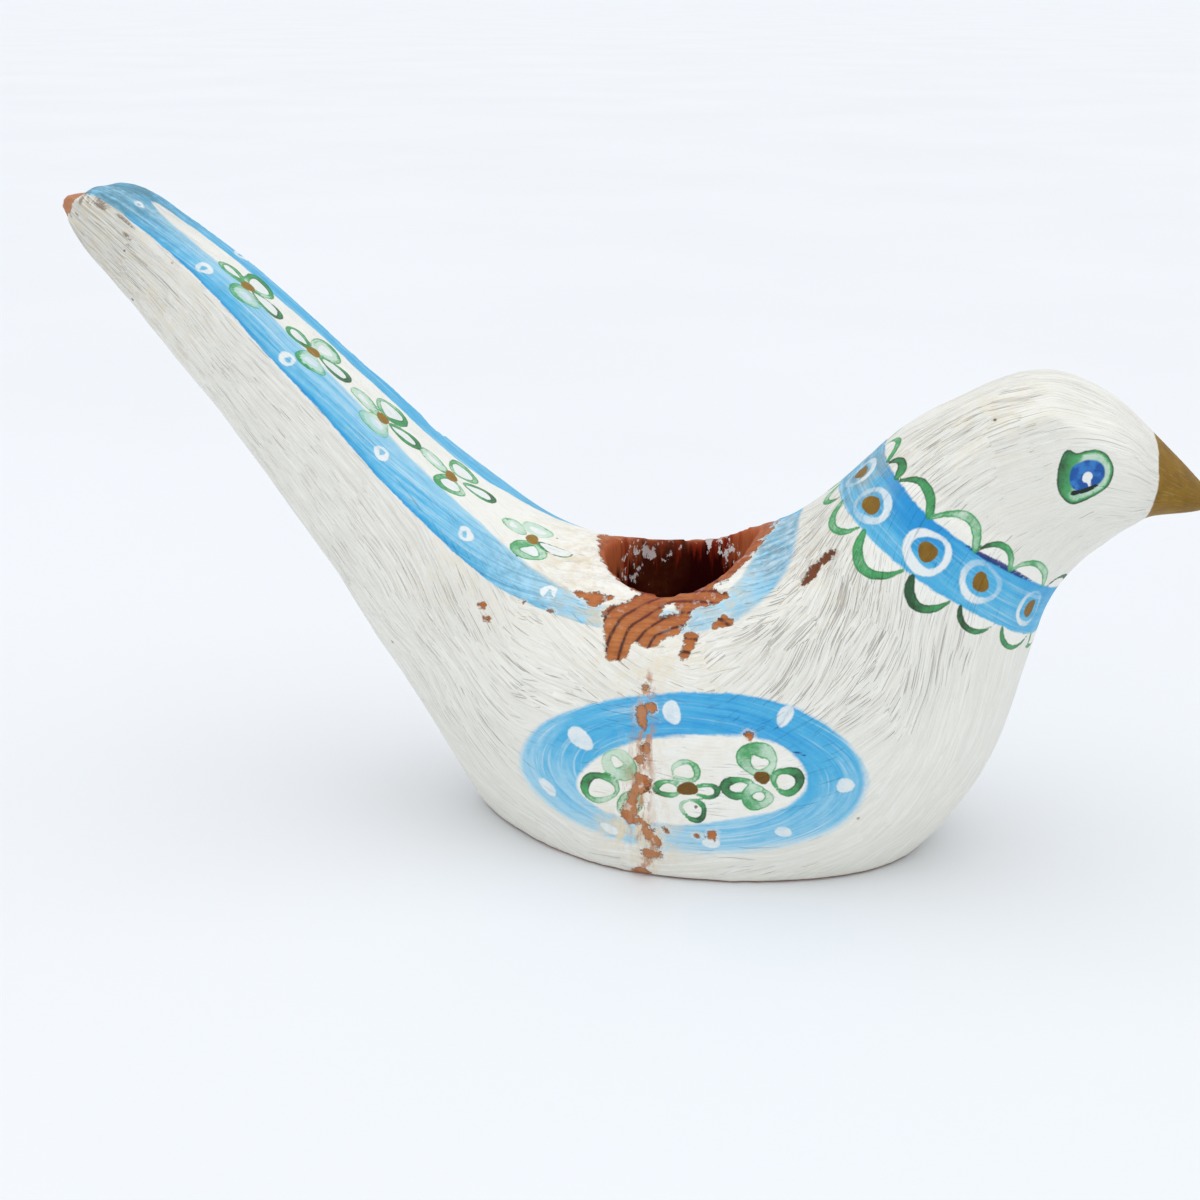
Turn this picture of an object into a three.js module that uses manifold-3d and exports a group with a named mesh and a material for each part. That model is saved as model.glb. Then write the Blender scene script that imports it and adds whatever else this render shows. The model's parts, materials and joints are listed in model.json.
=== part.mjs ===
// A folk-carved wooden bird that holds one candle in a socket bored into its back.
// Tail, body, neck, head and beak are carved from a single block, so the bird is one solid. It stands on
// a flat sole. Millimetres, +Z up, beak along +X. The origin lies on the sole, below the candle socket.

import * as THREE from "three";
import { mergeVertices } from "three/addons/utils/BufferGeometryUtils.js";
import Module from "manifold-3d";

// Candle socket: a straight blind bore for a household candle.
const SOCKET_DIAMETER = 22;
const SOCKET_FLOOR = 18;
const SOCKET_SIDES = 48;

// How finely the carved form is faceted.
const RINGS_PER_SPAN = 4;
const HALF_RING_POINTS = 24;
const OUTLINE_SAMPLES = 96;

// The saw and the drill reach this far past the wood they cut.
const CUT_REACH = 200;

// Carved cross-sections from the tail's end to the beak's tip. Each lies in a plane across the bird:
//   back, belly     [x, z] where the plane meets the bird's upper and lower outline
//   half            half of the section's width, as first rounded
//   flank           half of the width left where both sides are planed flat
//   widest          where that width lies, from 0 at the belly to 1 at the back
//   upper, lower    how square the two halves of the section are: 2 is an ellipse, more is boxier
//   bevel           how much is planed off the two upper edges, measured along each face
function section(name, back, belly, { half, flank = half, widest, upper, lower, bevel = 0 }) {
  return { name, back, belly, half, flank, widest, upper, lower, bevel };
}

const SECTIONS = [
  section("tail end face", [-86.0, 90.4], [-89.8, 86.8],
    { half: 6.4, widest: 0.55, upper: 6, lower: 3, bevel: 1.4 }),
  section("tail end", [-84.0, 91.0], [-89.6, 84.8],
    { half: 7.2, widest: 0.55, upper: 8, lower: 3, bevel: 1.6 }),
  section("tail quarter", [-68.5, 81.3], [-78.2, 71.4],
    { half: 8.6, widest: 0.52, upper: 9, lower: 3, bevel: 1.9 }),
  section("tail middle", [-53.4, 67.9], [-64.2, 55.2],
    { half: 10.7, widest: 0.50, upper: 9, lower: 3, bevel: 2.4 }),
  section("tail root", [-37.1, 53.3], [-49.6, 34.9],
    { half: 13.8, widest: 0.50, upper: 7, lower: 2.5, bevel: 2.9 }),
  section("rump", [-23.7, 44.3], [-37.8, 14.4],
    { half: 17.4, widest: 0.50, upper: 3.6, lower: 1.7, bevel: 2.4 }),
  section("loin", [-12.2, 41.4], [-26.4, -3.8],
    { half: 21.4, widest: 0.52, upper: 2.5, lower: 1.5, bevel: 1.0 }),
  section("saddle", [0, 41.9], [0, -11.2],
    { half: 23.4, widest: 0.50, upper: 2.15, lower: 2.6 }),
  section("shoulder", [8.8, 44.3], [26.2, -7.8],
    { half: 22.6, widest: 0.50, upper: 2.15, lower: 2.1 }),
  section("breast", [17.2, 48.5], [43.8, 10.4],
    { half: 20.2, widest: 0.49, upper: 2.2, lower: 2.0 }),
  section("collar", [24.4, 55.2], [51.0, 36.3],
    { half: 16.8, flank: 16.4, widest: 0.48, upper: 2.2, lower: 2.1 }),
  section("nape", [32.0, 62.1], [54.4, 43.4],
    { half: 15.2, flank: 14.0, widest: 0.50, upper: 2.3, lower: 2.2 }),
  section("crown", [46.8, 69.3], [58.8, 47.8],
    { half: 14.0, flank: 12.3, widest: 0.48, upper: 3.1, lower: 2.2 }),
  section("brow", [57.8, 67.0], [61.6, 50.0],
    { half: 11.1, flank: 10.2, widest: 0.47, upper: 1.7, lower: 2.2 }),
  section("beak root", [63.2, 62.4], [63.7, 51.0],
    { half: 6.4, flank: 6.2, widest: 0.46, upper: 1.6, lower: 2.0 }),
  section("beak", [68.6, 57.1], [68.6, 51.8],
    { half: 3.4, widest: 0.46, upper: 1.7, lower: 2.0 }),
  section("beak tip", [72.0, 53.5], [71.8, 52.5],
    { half: 0.6, widest: 0.50, upper: 2, lower: 2 }),
];

const LAST_SECTION = SECTIONS.length - 1;

// Smooth curves through the sections, read by section number, whole or fractional.
function curveThrough(pointOf) {
  const points = SECTIONS.map((each, i) => new THREE.Vector2(...pointOf(each, i)));
  const curve = new THREE.SplineCurve(points);
  return (station) => curve.getPoint(station / LAST_SECTION);
}

function measure(key) {
  const curve = curveThrough((each, i) => [i, each[key]]);
  return (station) => curve(station).y;
}

const backLine = curveThrough((each) => each.back);
const bellyLine = curveThrough((each) => each.belly);
const half = measure("half");
const flank = measure("flank");
const widest = measure("widest");
const upper = measure("upper");
const lower = measure("lower");
const bevel = measure("bevel");

// One half of a section, from the back line round to the belly line, as sideways and upwards distances.
function halfOutline(station, height) {
  const points = [];
  for (let i = 0; i <= OUTLINE_SAMPLES; i++) {
    const angle = Math.PI * (0.5 - i / OUTLINE_SAMPLES);
    const above = angle >= 0;
    const power = 2 / (above ? upper(station) : lower(station));
    const reach = height * (above ? 1 - widest(station) : widest(station));
    const rounded = above ? half(station) : flank(station);
    let side = rounded * Math.abs(Math.cos(angle)) ** power;
    let rise = Math.sign(angle) * reach * Math.abs(Math.sin(angle)) ** power;
    const planed = bevel(station) - (rounded - side) - (reach - rise);
    if (above && planed > 0) {
      side -= planed / 2;
      rise -= planed / 2;
    }
    side = Math.min(side, flank(station));
    points.push(new THREE.Vector2(side, height * widest(station) + rise));
  }
  return new THREE.SplineCurve(points).getSpacedPoints(HALF_RING_POINTS);
}

// The closed ring of a section in space, clockwise seen from the beak.
function ringAt(station) {
  const back = backLine(station);
  const belly = bellyLine(station);
  const upright = back.clone().sub(belly);
  const height = upright.length();
  upright.normalize();
  const right = halfOutline(station, height);
  const left = right.slice(1, -1).reverse().map((p) => new THREE.Vector2(-p.x, p.y));
  return [...right, ...left].map(
    (p) => new THREE.Vector3(belly.x + upright.x * p.y, p.x, belly.y + upright.y * p.y),
  );
}

// A closed skin over rings that all have the same number of points, with a flat cap on each end.
function skinOver(rings) {
  const around = rings[0].length;
  const points = rings.flat();
  const triangles = [];
  for (let r = 0; r + 1 < rings.length; r++) {
    for (let i = 0; i < around; i++) {
      const a = r * around + i;
      const b = r * around + ((i + 1) % around);
      triangles.push(a, a + around, b, b, a + around, b + around);
    }
  }
  const middle = (ring) => ring.reduce((sum, p) => sum.add(p), new THREE.Vector3()).divideScalar(around);
  const tail = points.push(middle(rings[0])) - 1;
  const beak = points.push(middle(rings.at(-1))) - 1;
  const lastRing = (rings.length - 1) * around;
  for (let i = 0; i < around; i++) {
    const next = (i + 1) % around;
    triangles.push(tail, i, next, beak, lastRing + next, lastRing + i);
  }
  return new THREE.BufferGeometry().setFromPoints(points).setIndex(triangles);
}

const wasm = await Module();
wasm.setup();

function solidFrom(geometry) {
  const bare = geometry.clone();
  bare.deleteAttribute("normal");
  bare.deleteAttribute("uv");
  const merged = mergeVertices(bare);
  const vertProperties = merged.attributes.position.array;
  const triVerts = new Uint32Array(merged.index.array);
  return new wasm.Manifold(new wasm.Mesh({ numProp: 3, vertProperties, triVerts }));
}

function geometryFrom(solid) {
  const { vertProperties, triVerts } = solid.getMesh();
  const geometry = new THREE.BufferGeometry();
  geometry.setAttribute("position", new THREE.BufferAttribute(vertProperties, 3));
  geometry.setIndex(new THREE.BufferAttribute(triVerts, 1));
  geometry.computeVertexNormals();
  return geometry;
}

// The whole carved form, before the sole is sawn flat and the socket is bored.
function carvedForm() {
  const rings = [];
  for (let i = 0; i <= LAST_SECTION * RINGS_PER_SPAN; i++) {
    rings.push(ringAt(i / RINGS_PER_SPAN));
  }
  return solidFrom(skinOver(rings));
}

// Everything below the table, which the saw takes off.
function sawnWaste() {
  const block = new THREE.BoxGeometry(2 * CUT_REACH, 2 * CUT_REACH, CUT_REACH);
  return solidFrom(block.translate(0, 0, -CUT_REACH / 2));
}

// The drill's cut, upright from the socket's floor.
function socketBore() {
  const radius = SOCKET_DIAMETER / 2;
  const bore = new THREE.CylinderGeometry(radius, radius, CUT_REACH, SOCKET_SIDES).rotateX(Math.PI / 2);
  return solidFrom(bore.translate(0, 0, SOCKET_FLOOR + CUT_REACH / 2));
}

const paintedWood = new THREE.MeshStandardMaterial({ color: 0xe6e3d8, roughness: 0.6, metalness: 0 });

function carvedBird() {
  const solid = carvedForm().subtract(sawnWaste()).subtract(socketBore());
  const bird = new THREE.Mesh(geometryFrom(solid), paintedWood);
  bird.name = "carved_bird";
  return bird;
}

const candlestick = new THREE.Group();
candlestick.add(carvedBird());

export default candlestick;
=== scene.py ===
import json
import math

import bpy
import numpy as np
from bpy.props import FloatProperty, FloatVectorProperty, IntProperty, PointerProperty
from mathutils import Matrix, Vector, noise

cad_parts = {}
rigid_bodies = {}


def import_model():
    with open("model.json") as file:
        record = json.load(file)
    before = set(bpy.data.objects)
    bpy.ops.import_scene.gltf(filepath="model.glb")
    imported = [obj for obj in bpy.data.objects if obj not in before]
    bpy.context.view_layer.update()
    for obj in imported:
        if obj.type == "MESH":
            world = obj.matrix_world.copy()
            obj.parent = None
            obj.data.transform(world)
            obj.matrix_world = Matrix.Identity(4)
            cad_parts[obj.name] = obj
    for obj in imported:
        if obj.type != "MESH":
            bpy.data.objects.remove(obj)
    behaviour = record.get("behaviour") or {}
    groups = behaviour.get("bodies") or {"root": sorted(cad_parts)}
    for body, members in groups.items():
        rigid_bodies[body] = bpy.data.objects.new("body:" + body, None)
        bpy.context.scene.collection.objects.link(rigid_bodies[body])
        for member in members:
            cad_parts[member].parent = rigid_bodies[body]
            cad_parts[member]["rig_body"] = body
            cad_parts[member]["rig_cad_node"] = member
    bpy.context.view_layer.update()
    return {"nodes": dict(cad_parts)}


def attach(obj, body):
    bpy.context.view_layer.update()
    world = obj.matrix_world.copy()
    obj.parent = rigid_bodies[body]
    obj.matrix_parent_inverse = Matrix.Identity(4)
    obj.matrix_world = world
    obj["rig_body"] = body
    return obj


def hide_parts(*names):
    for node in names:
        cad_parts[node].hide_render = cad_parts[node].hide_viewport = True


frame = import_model()

bl_info = {
    "name": "Carved Bird Candlestick",
    "version": (1, 0, 0),
    "blender": (4, 5, 0),
    "location": "3D View > Sidebar > Candlestick",
    "description": "Carves, paints and wears a wooden bird that holds one candle, and sets its stage",
    "category": "Object",
}

# Lengths in the tables and on the charts are millimetres.
MM = 0.001
# Where there is no paint near, a coat's edge counts as this far off. A drawn line is felt within the reach.
FAR_AWAY = 60.0
REACH = 4.0

# The carver's cross-sections, from the tail's end to the beak's tip: (x, z) where each one meets the back and
# the belly. They are the sections of the CAD solid.
BACK = np.array([
    (-86.0, 90.4), (-84.0, 91.0), (-68.5, 81.3), (-53.4, 67.9), (-37.1, 53.3), (-23.7, 44.3),
    (-12.2, 41.4), (0.0, 41.9), (8.8, 44.3), (17.2, 48.5), (24.4, 55.2), (32.0, 62.1),
    (46.8, 69.3), (57.8, 67.0), (63.2, 62.4), (68.6, 57.1), (72.0, 53.5),
])
BELLY = np.array([
    (-89.8, 86.8), (-89.6, 84.8), (-78.2, 71.4), (-64.2, 55.2), (-49.6, 34.9), (-37.8, 14.4),
    (-26.4, -3.8), (0.0, -11.2), (26.2, -7.8), (43.8, 10.4), (51.0, 36.3), (54.4, 43.4),
    (58.8, 47.8), (61.6, 50.0), (63.7, 51.0), (68.6, 51.8), (71.8, 52.5),
])
STEPS_PER_SECTION = 10

# The socket's rim: how far from the bore's edge it is worn, and above which height it lies.
RIM_WORN = 1.5
RIM_ABOVE = 33.0


# ----------------------------------------------------------------------
# Charts: where each point of the surface lies, as the carver and the painter see it
# ----------------------------------------------------------------------

def along_sections(points, station):
    """A smooth curve through one point per section, read at whole or fractional section numbers."""
    last = len(points) - 1
    i = np.minimum(station.astype(int), last - 1)
    w = (station - i)[:, None]
    before, here = points[np.maximum(i - 1, 0)], points[i]
    there, after = points[i + 1], points[np.minimum(i + 2, last)]
    leave, arrive = (there - before) / 2, (after - here) / 2
    return (
        (2 * here - 2 * there + leave + arrive) * w ** 3
        + (3 * there - 3 * here - 2 * leave - arrive) * w ** 2
        + leave * w
        + here
    )


def ramp(values, start, end):
    """Goes evenly from 0 at start to 1 at end."""
    return np.clip((values - start) / (end - start), 0, 1)


def read_at(place, table):
    """Reads a table of places and values, evenly in between."""
    return np.interp(place, *np.array(table).T)


def run_length(line):
    """Length along a line up to each of its points."""
    return np.concatenate(([0.0], np.cumsum(np.linalg.norm(np.diff(line, axis=0), axis=1))))


class Charts:
    """Flat charts of the bird's skin, in millimetres, that the painter draws on.

    A chart is two coordinates for every point, and whether the point lies on it. The top chart runs along the
    back and across from it, the two side charts are the side view, and the collar's runs round the neck and
    along it.
    """

    TOP_LENGTH = 128.0
    TOP_SHARE = 0.62
    SIDE_FROM = 3.0
    COLLAR_AXIS = np.array([0.6, 0.0, 0.8])
    COLLAR_DOWN = np.array([0.8, 0.0, -0.6])
    COLLAR_CENTRE = 2.1
    COLLAR_RADIUS = 15.6
    COLLAR_FROM, COLLAR_TO = 48, 72
    BORE_EDGE = 0.5
    BELOW_FLOOR = 2
    RIM_HEIGHT = 42.5
    STROKE_RADIUS = 20.0
    BREAST_FROM = 118.0
    BREAST_LENGTH = 50.0
    BREAST_CLIMB = 0.004
    OVAL_CENTRE = (5.4, 16.7)
    OVAL_HALF = (24.8, 11.9)
    # Length and breadth of the brush round the oval, as shares of its half sizes.
    OVAL_STROKE, OVAL_BREADTH = 0.7, 1.4
    # Where the wing lies: below the back by this much, between two places along the bird, and up to a height.
    WING_BELOW_BACK = 9.5
    WING_FROM, WING_TO = -26, 36
    WING_TOP = 33
    # Places with fine strokes: a chart, and from where to where on it.
    FINE_PLACES = (
        ("top", 18, 94, -14, 9), ("top", 90, 114, -31, -10), ("near", -12, 23, 0, 29), ("far", -11, 23, 8, 24),
        ("near", 49.5, 59, 54, 63.5), ("far", 49.5, 59, 54, 63.5), ("collar", -1, 50, 51.5, 68.5),
        ("near", -90, -77, 82, 92),
    )
    # Painted light: the socket's wall is lit at both ends of this diameter. There its charring and painted
    # shade start lower, by so much.
    LIT_ANGLE = 8
    LIT_FROM = 0.375
    DARK_LOWER_WHERE_LIT = 5

    def __init__(self, points, socket_radius, socket_floor):
        self.x, self.y, self.z = points.T
        self.points = points
        self.find_stations()
        self.socket(socket_radius, socket_floor)
        self.lay_out()

    def find_stations(self):
        """The section that passes through each point, and the point's place in that section."""
        x, z = self.x, self.z
        grid = np.linspace(0, len(BACK) - 1, (len(BACK) - 1) * STEPS_PER_SECTION + 1)
        backs, bellies = along_sections(BACK, grid), along_sections(BELLY, grid)
        passed = np.zeros(len(x), int)
        ahead = np.empty((len(grid), len(x)), np.float32)
        for k, (back, belly) in enumerate(zip(backs, bellies)):
            up = back - belly
            ahead[k] = (x - belly[0]) * up[1] - (z - belly[1]) * up[0]
            passed += ahead[k] > 0
        first = np.clip(passed - 1, 0, len(grid) - 2)
        each = np.arange(len(x))
        a, b = ahead[first, each], ahead[first + 1, each]
        self.station = grid[first] + np.clip(a / (a - b + 1e-9), 0, 1) * (grid[1] - grid[0])
        back, belly = along_sections(BACK, self.station), along_sections(BELLY, self.station)
        up = back - belly
        height = np.linalg.norm(up, axis=1)
        up /= height[:, None]
        rise = (x - belly[:, 0]) * up[:, 0] + (z - belly[:, 1]) * up[:, 1]
        self.height, self.depth = height, np.maximum(height - rise, 0)
        self.along_back = np.interp(self.station, grid, run_length(backs))
        self.along_body = np.interp(self.station, grid, run_length((backs + bellies) / 2))
        self.around = np.arctan2(self.y, rise - height / 2)

    def socket(self, radius, floor):
        """How far each point is from the socket's axis, and whether it is in the bore or by its rim."""
        self.from_axis = np.hypot(self.x, self.y)
        in_bore = ramp(self.from_axis, radius + self.BORE_EDGE, radius)
        self.bore = in_bore * (self.z > floor - self.BELOW_FLOOR)
        self.bore_angle = np.degrees(np.arctan2(self.y, self.x))
        self.bore_depth = np.clip(self.RIM_HEIGHT - self.z, 0, None)
        self.by_rim = (np.abs(self.from_axis - radius) < RIM_WORN) & (self.z > RIM_ABOVE)

    def lay_out(self):
        """The charts themselves."""
        outside = self.bore < 0.5
        upper = outside & (self.depth < self.TOP_SHARE * self.height)
        self.top = (
            self.along_back,
            np.sign(self.y) * (np.abs(self.y) + self.depth),
            upper & (self.along_back < self.TOP_LENGTH),
        )
        self.near = (self.x, self.z, outside & (self.y < -self.SIDE_FROM))
        self.far = (self.x, self.z, outside & (self.y > self.SIDE_FROM))
        ring = self.points @ self.COLLAR_AXIS
        down = self.points @ self.COLLAR_DOWN - self.COLLAR_CENTRE
        self.collar_angle = np.degrees(np.arctan2(np.abs(self.y), -down))
        on_neck = (ring > self.COLLAR_FROM) & (ring < self.COLLAR_TO)
        self.collar = (np.radians(self.collar_angle) * self.COLLAR_RADIUS, ring, on_neck)

    def stroke_flow(self):
        """Coordinates that run with the white brush: along its stroke, and two across it.

        The strokes follow the body without a seam. On the breast they climb it.
        """
        r = self.STROKE_RADIUS
        climb = self.BREAST_CLIMB * np.clip(self.along_body - self.BREAST_FROM, 0, self.BREAST_LENGTH)
        turned = self.around - climb
        return np.stack([self.along_body, r * np.cos(turned), r * np.sin(turned)], 1)

    def on_wing(self):
        """Whether a point is on the body's side, about the painted oval."""
        along = (self.x > self.WING_FROM) & (self.x < self.WING_TO)
        return along & (self.depth > self.WING_BELOW_BACK) & (self.z < self.WING_TOP)

    def oval_place(self):
        """Angle round the wing's oval, and distance from its middle as a share of the way to its edge."""
        u = (self.x - self.OVAL_CENTRE[0]) / self.OVAL_HALF[0]
        v = (self.z - self.OVAL_CENTRE[1]) / self.OVAL_HALF[1]
        return np.arctan2(v, u), np.hypot(u, v)

    def border_flow(self):
        """Coordinates that run with the blue brush: two along its stroke, and one across it."""
        nothing = np.zeros(len(self.x))
        flow = np.stack([self.along_back, nothing, self.top[1]], 1)
        angle, share = self.oval_place()
        r = self.OVAL_HALF[0] * self.OVAL_STROKE
        across = share * self.OVAL_HALF[1] * self.OVAL_BREADTH
        oval = np.stack([r * np.cos(angle), r * np.sin(angle), across], 1)
        flow = np.where(self.on_wing()[:, None], oval, flow)
        around, along, on_neck = self.collar
        return np.where(on_neck[:, None], np.stack([around, nothing, along], 1), flow)

    def decorated(self):
        """Which points need a finer mesh, because fine strokes cross them."""
        fine = self.by_rim.copy()
        for chart, u0, u1, v0, v1 in self.FINE_PLACES:
            u, v, allowed = getattr(self, chart)
            fine |= allowed & (u > u0) & (u < u1) & (v > v0) & (v < v1)
        return fine

    def side_light(self):
        """How much the socket's wall is lit at each point."""
        facing = np.abs(np.cos(np.radians(self.bore_angle - self.LIT_ANGLE)))
        return ramp(facing, self.LIT_FROM, 1)


# ----------------------------------------------------------------------
# The painter's hand: areas, strokes, rings and dabs on a chart
# ----------------------------------------------------------------------

def rounded(line, closed, rounds=2):
    """Cuts the corners of a drawn line, so that it runs as a brush would."""
    line = np.asarray(line, float)
    for _ in range(rounds):
        nxt = np.roll(line, -1, axis=0) if closed else line[1:]
        here = line if closed else line[:-1]
        cut = np.stack([0.75 * here + 0.25 * nxt, 0.25 * here + 0.75 * nxt], 1).reshape(-1, 2)
        line = cut if closed else np.concatenate([line[:1], cut, line[-1:]])
    return np.concatenate([line, line[:1]]) if closed else line


OUTLINE_POINTS = 28
# How much broader a petal is towards its tip.
PETAL_FLARE = 0.30


def uneven(wobble, seed):
    """Angles round a hand-drawn outline, and its radius at each of them as a share."""
    t = np.linspace(0, 2 * np.pi, OUTLINE_POINTS, endpoint=False)
    return t, 1 + wobble * (np.sin(2 * t + seed) + 0.6 * np.sin(3 * t + 2.3 * seed + 1))


def ellipse(centre, half, turn=0.0, wobble=0.0, seed=0.0):
    """A hand-drawn oval, turned by degrees."""
    t, r = uneven(wobble, seed)
    u, v = half[0] * r * np.cos(t), half[1] * r * np.sin(t)
    c, s = math.cos(math.radians(turn)), math.sin(math.radians(turn))
    return np.stack([centre[0] + u * c - v * s, centre[1] + u * s + v * c], 1)


def petal(middle, centre, half, wobble, seed):
    """A hand-drawn petal outline that narrows towards the middle of its flower."""
    out = np.subtract(centre, middle)
    length, width = half if abs(out[0]) > abs(out[1]) else half[::-1]
    out = out / np.linalg.norm(out)
    side = np.array((-out[1], out[0]))
    t, r = uneven(wobble, seed)
    along, across = length * r * np.cos(t), width * r * np.sin(t) * (1 + PETAL_FLARE * np.cos(t))
    return np.asarray(centre) + along[:, None] * out + across[:, None] * side


def trace(u, v, line):
    """Distance from each point to a drawn line, and where along it the nearest spot is, from 0 to 1."""
    steps = np.diff(line, axis=0)
    lengths = np.hypot(steps[:, 0], steps[:, 1])
    starts = run_length(line)
    best, along = np.full(u.shape, FAR_AWAY), np.zeros(u.shape)
    for (a, b), (du, dv), length, start in zip(line, steps, lengths, starts):
        if length < 1e-6:
            continue
        share = np.clip(((u - a) * du + (v - b) * dv) / length ** 2, 0, 1)
        gap = np.hypot(u - a - share * du, v - b - share * dv)
        nearer = gap < best
        best[nearer] = gap[nearer]
        along[nearer] = np.minimum((start + share[nearer] * length) / starts[-1], 1)
    return best, along


def enclosed(u, v, outline):
    """Which points lie inside a closed outline."""
    inside = np.zeros(u.shape, bool)
    for (a, b), (c, d) in zip(outline[:-1], outline[1:]):
        if b != d:
            crosses = (b > v) != (d > v)
            inside ^= crosses & (u < (c - a) * (v - b) / (d - b) + a)
    return inside


class Coat:
    """One coat of paint: how far each point is from its edge, negative under the paint, and its tone.

    A tone is 0 for thin, pale paint and 1 for thick, deep paint.
    """

    SOFTNESS = 0.18
    # Shares of a ring's width: where it is thinnest, what it gains where it is darkest, and how it wavers.
    RING_THINNEST, RING_SWELL, RING_WAVER = 0.60, 0.44, 0.14

    def __init__(self, count):
        self.edge = np.full(count, FAR_AWAY)
        self.tone = np.zeros(count)
        self.soft = np.full(count, self.SOFTNESS)

    def chosen(self, chart, line):
        """The points of a chart that a line may touch."""
        u, v, allowed = chart
        (u0, v0), (u1, v1) = np.min(line, 0) - REACH, np.max(line, 0) + REACH
        return np.nonzero(allowed & (u > u0) & (u < u1) & (v > v0) & (v < v1))[0]

    def lay(self, here, edge, tone):
        """Adds paint, given the distance to its edge at some of the points."""
        nearer = edge < self.edge[here]
        self.tone[here] = np.where(nearer, tone, self.tone[here])
        self.edge[here] = np.minimum(edge, self.edge[here])

    def signed(self, chart, outline):
        """The points near an outline, and their distance from it, negative inside."""
        here = self.chosen(chart, outline)
        u, v = chart[0][here], chart[1][here]
        gap, _ = trace(u, v, outline)
        return here, np.where(enclosed(u, v, outline), -gap, gap)

    def area(self, chart, outline, tone=0.5, rounds=2):
        """Paints an area."""
        here, edge = self.signed(chart, rounded(outline, True, rounds))
        self.lay(here, edge, tone)

    def leave(self, chart, outline, rounds=2):
        """Keeps the paint off an area."""
        here, edge = self.signed(chart, rounded(outline, True, rounds))
        self.edge[here] = np.maximum(self.edge[here], -edge)

    def stroke(self, chart, line, width, tones=(0.5, 0.5), ends=0.6, rounds=2, lean=0.0):
        """A brush stroke, thinner towards its ends, whose tone runs from the first value to the second.

        With a lean it is broader towards its start, or with a negative one towards its end.
        """
        line = rounded(line, False, rounds)
        here = self.chosen(chart, line)
        gap, along = trace(chart[0][here], chart[1][here], line)
        swell = (ends + (1 - ends) * np.sin(np.pi * along) ** 0.7) * (1 + lean * (1 - 2 * along))
        self.lay(here, gap - width / 2 * swell, tones[0] + (tones[1] - tones[0]) * along)

    def ring(self, chart, outline, width, tones=(0.4, 0.6), darkest=0.0):
        """A closed stroke. Its tone is the second value at the darkest share of the way round."""
        line = rounded(outline, True, 1)
        here = self.chosen(chart, line)
        gap, along = trace(chart[0][here], chart[1][here], line)
        nearness = 0.5 + 0.5 * np.cos(2 * np.pi * (along - darkest))
        waver = np.sin(2 * np.pi * (3 * along + 2 * darkest))
        swell = self.RING_THINNEST + self.RING_SWELL * nearness + self.RING_WAVER * waver
        self.lay(here, gap - width / 2 * swell, tones[0] + (tones[1] - tones[0]) * nearness ** 1.5)

    def deepen(self, chart, line, width, tone):
        """Changes the tone of what is already painted along a line."""
        here = self.chosen(chart, line)
        gap, _ = trace(chart[0][here], chart[1][here], line)
        self.tone[here] += (tone - self.tone[here]) * ramp(gap, 1.3 * width, 0.3 * width)


# ----------------------------------------------------------------------
# What is painted
# ----------------------------------------------------------------------

# Blue border of the tail and saddle on the top chart: distance along the back, and across from the back line.
BORDER_OUTSIDE = (
    (-6, 6.2), (6, 7.3), (15, 8.3), (28, 10.4), (40, 11.9), (52, 13.5), (65, 16.1), (77, 18.4), (90, 21.5),
    (99, 23.6), (111, 24.2), (116.5, 20.5), (120, 15.5), (121.8, 8), (122.3, 0),
)
STRIP_NEAR = (
    (8.5, -0.4), (17, 1.9), (25, 2.4), (33, 3.5), (43, 4.0), (55, 4.6), (67.5, 6.5), (79, 9.6), (87, 13.8),
    (94, 17.6), (103, 19.0), (109.5, 18.4), (113, 15.2), (114.8, 11), (116, 5.5), (116.6, 0),
)
STRIP_FAR = (
    (9, 2.6), (19, 3.0), (28, 3.3), (41, 4.5), (55, 4.7), (69, 5.4), (81, 8.0), (90, 12.5), (103, 16.5),
    (111, 15.5), (114.5, 10), (116, 5),
)
# White dots on the border, their half sizes and stroke. One more sits by the tail's end.
TAIL_DOTS = ((22.5, 6.7), (40.0, 9.4), (58.6, 10.6), (74.8, 13.4), (88.9, 17.4))
TAIL_DOT_HALF, TAIL_DOT_WIDTH = (0.78, 1.25), 1.05
END_DOT, END_DOT_HALF, END_DOT_WIDTH = (8.6, -2.6), (0.55, 0.9), 0.7

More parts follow.
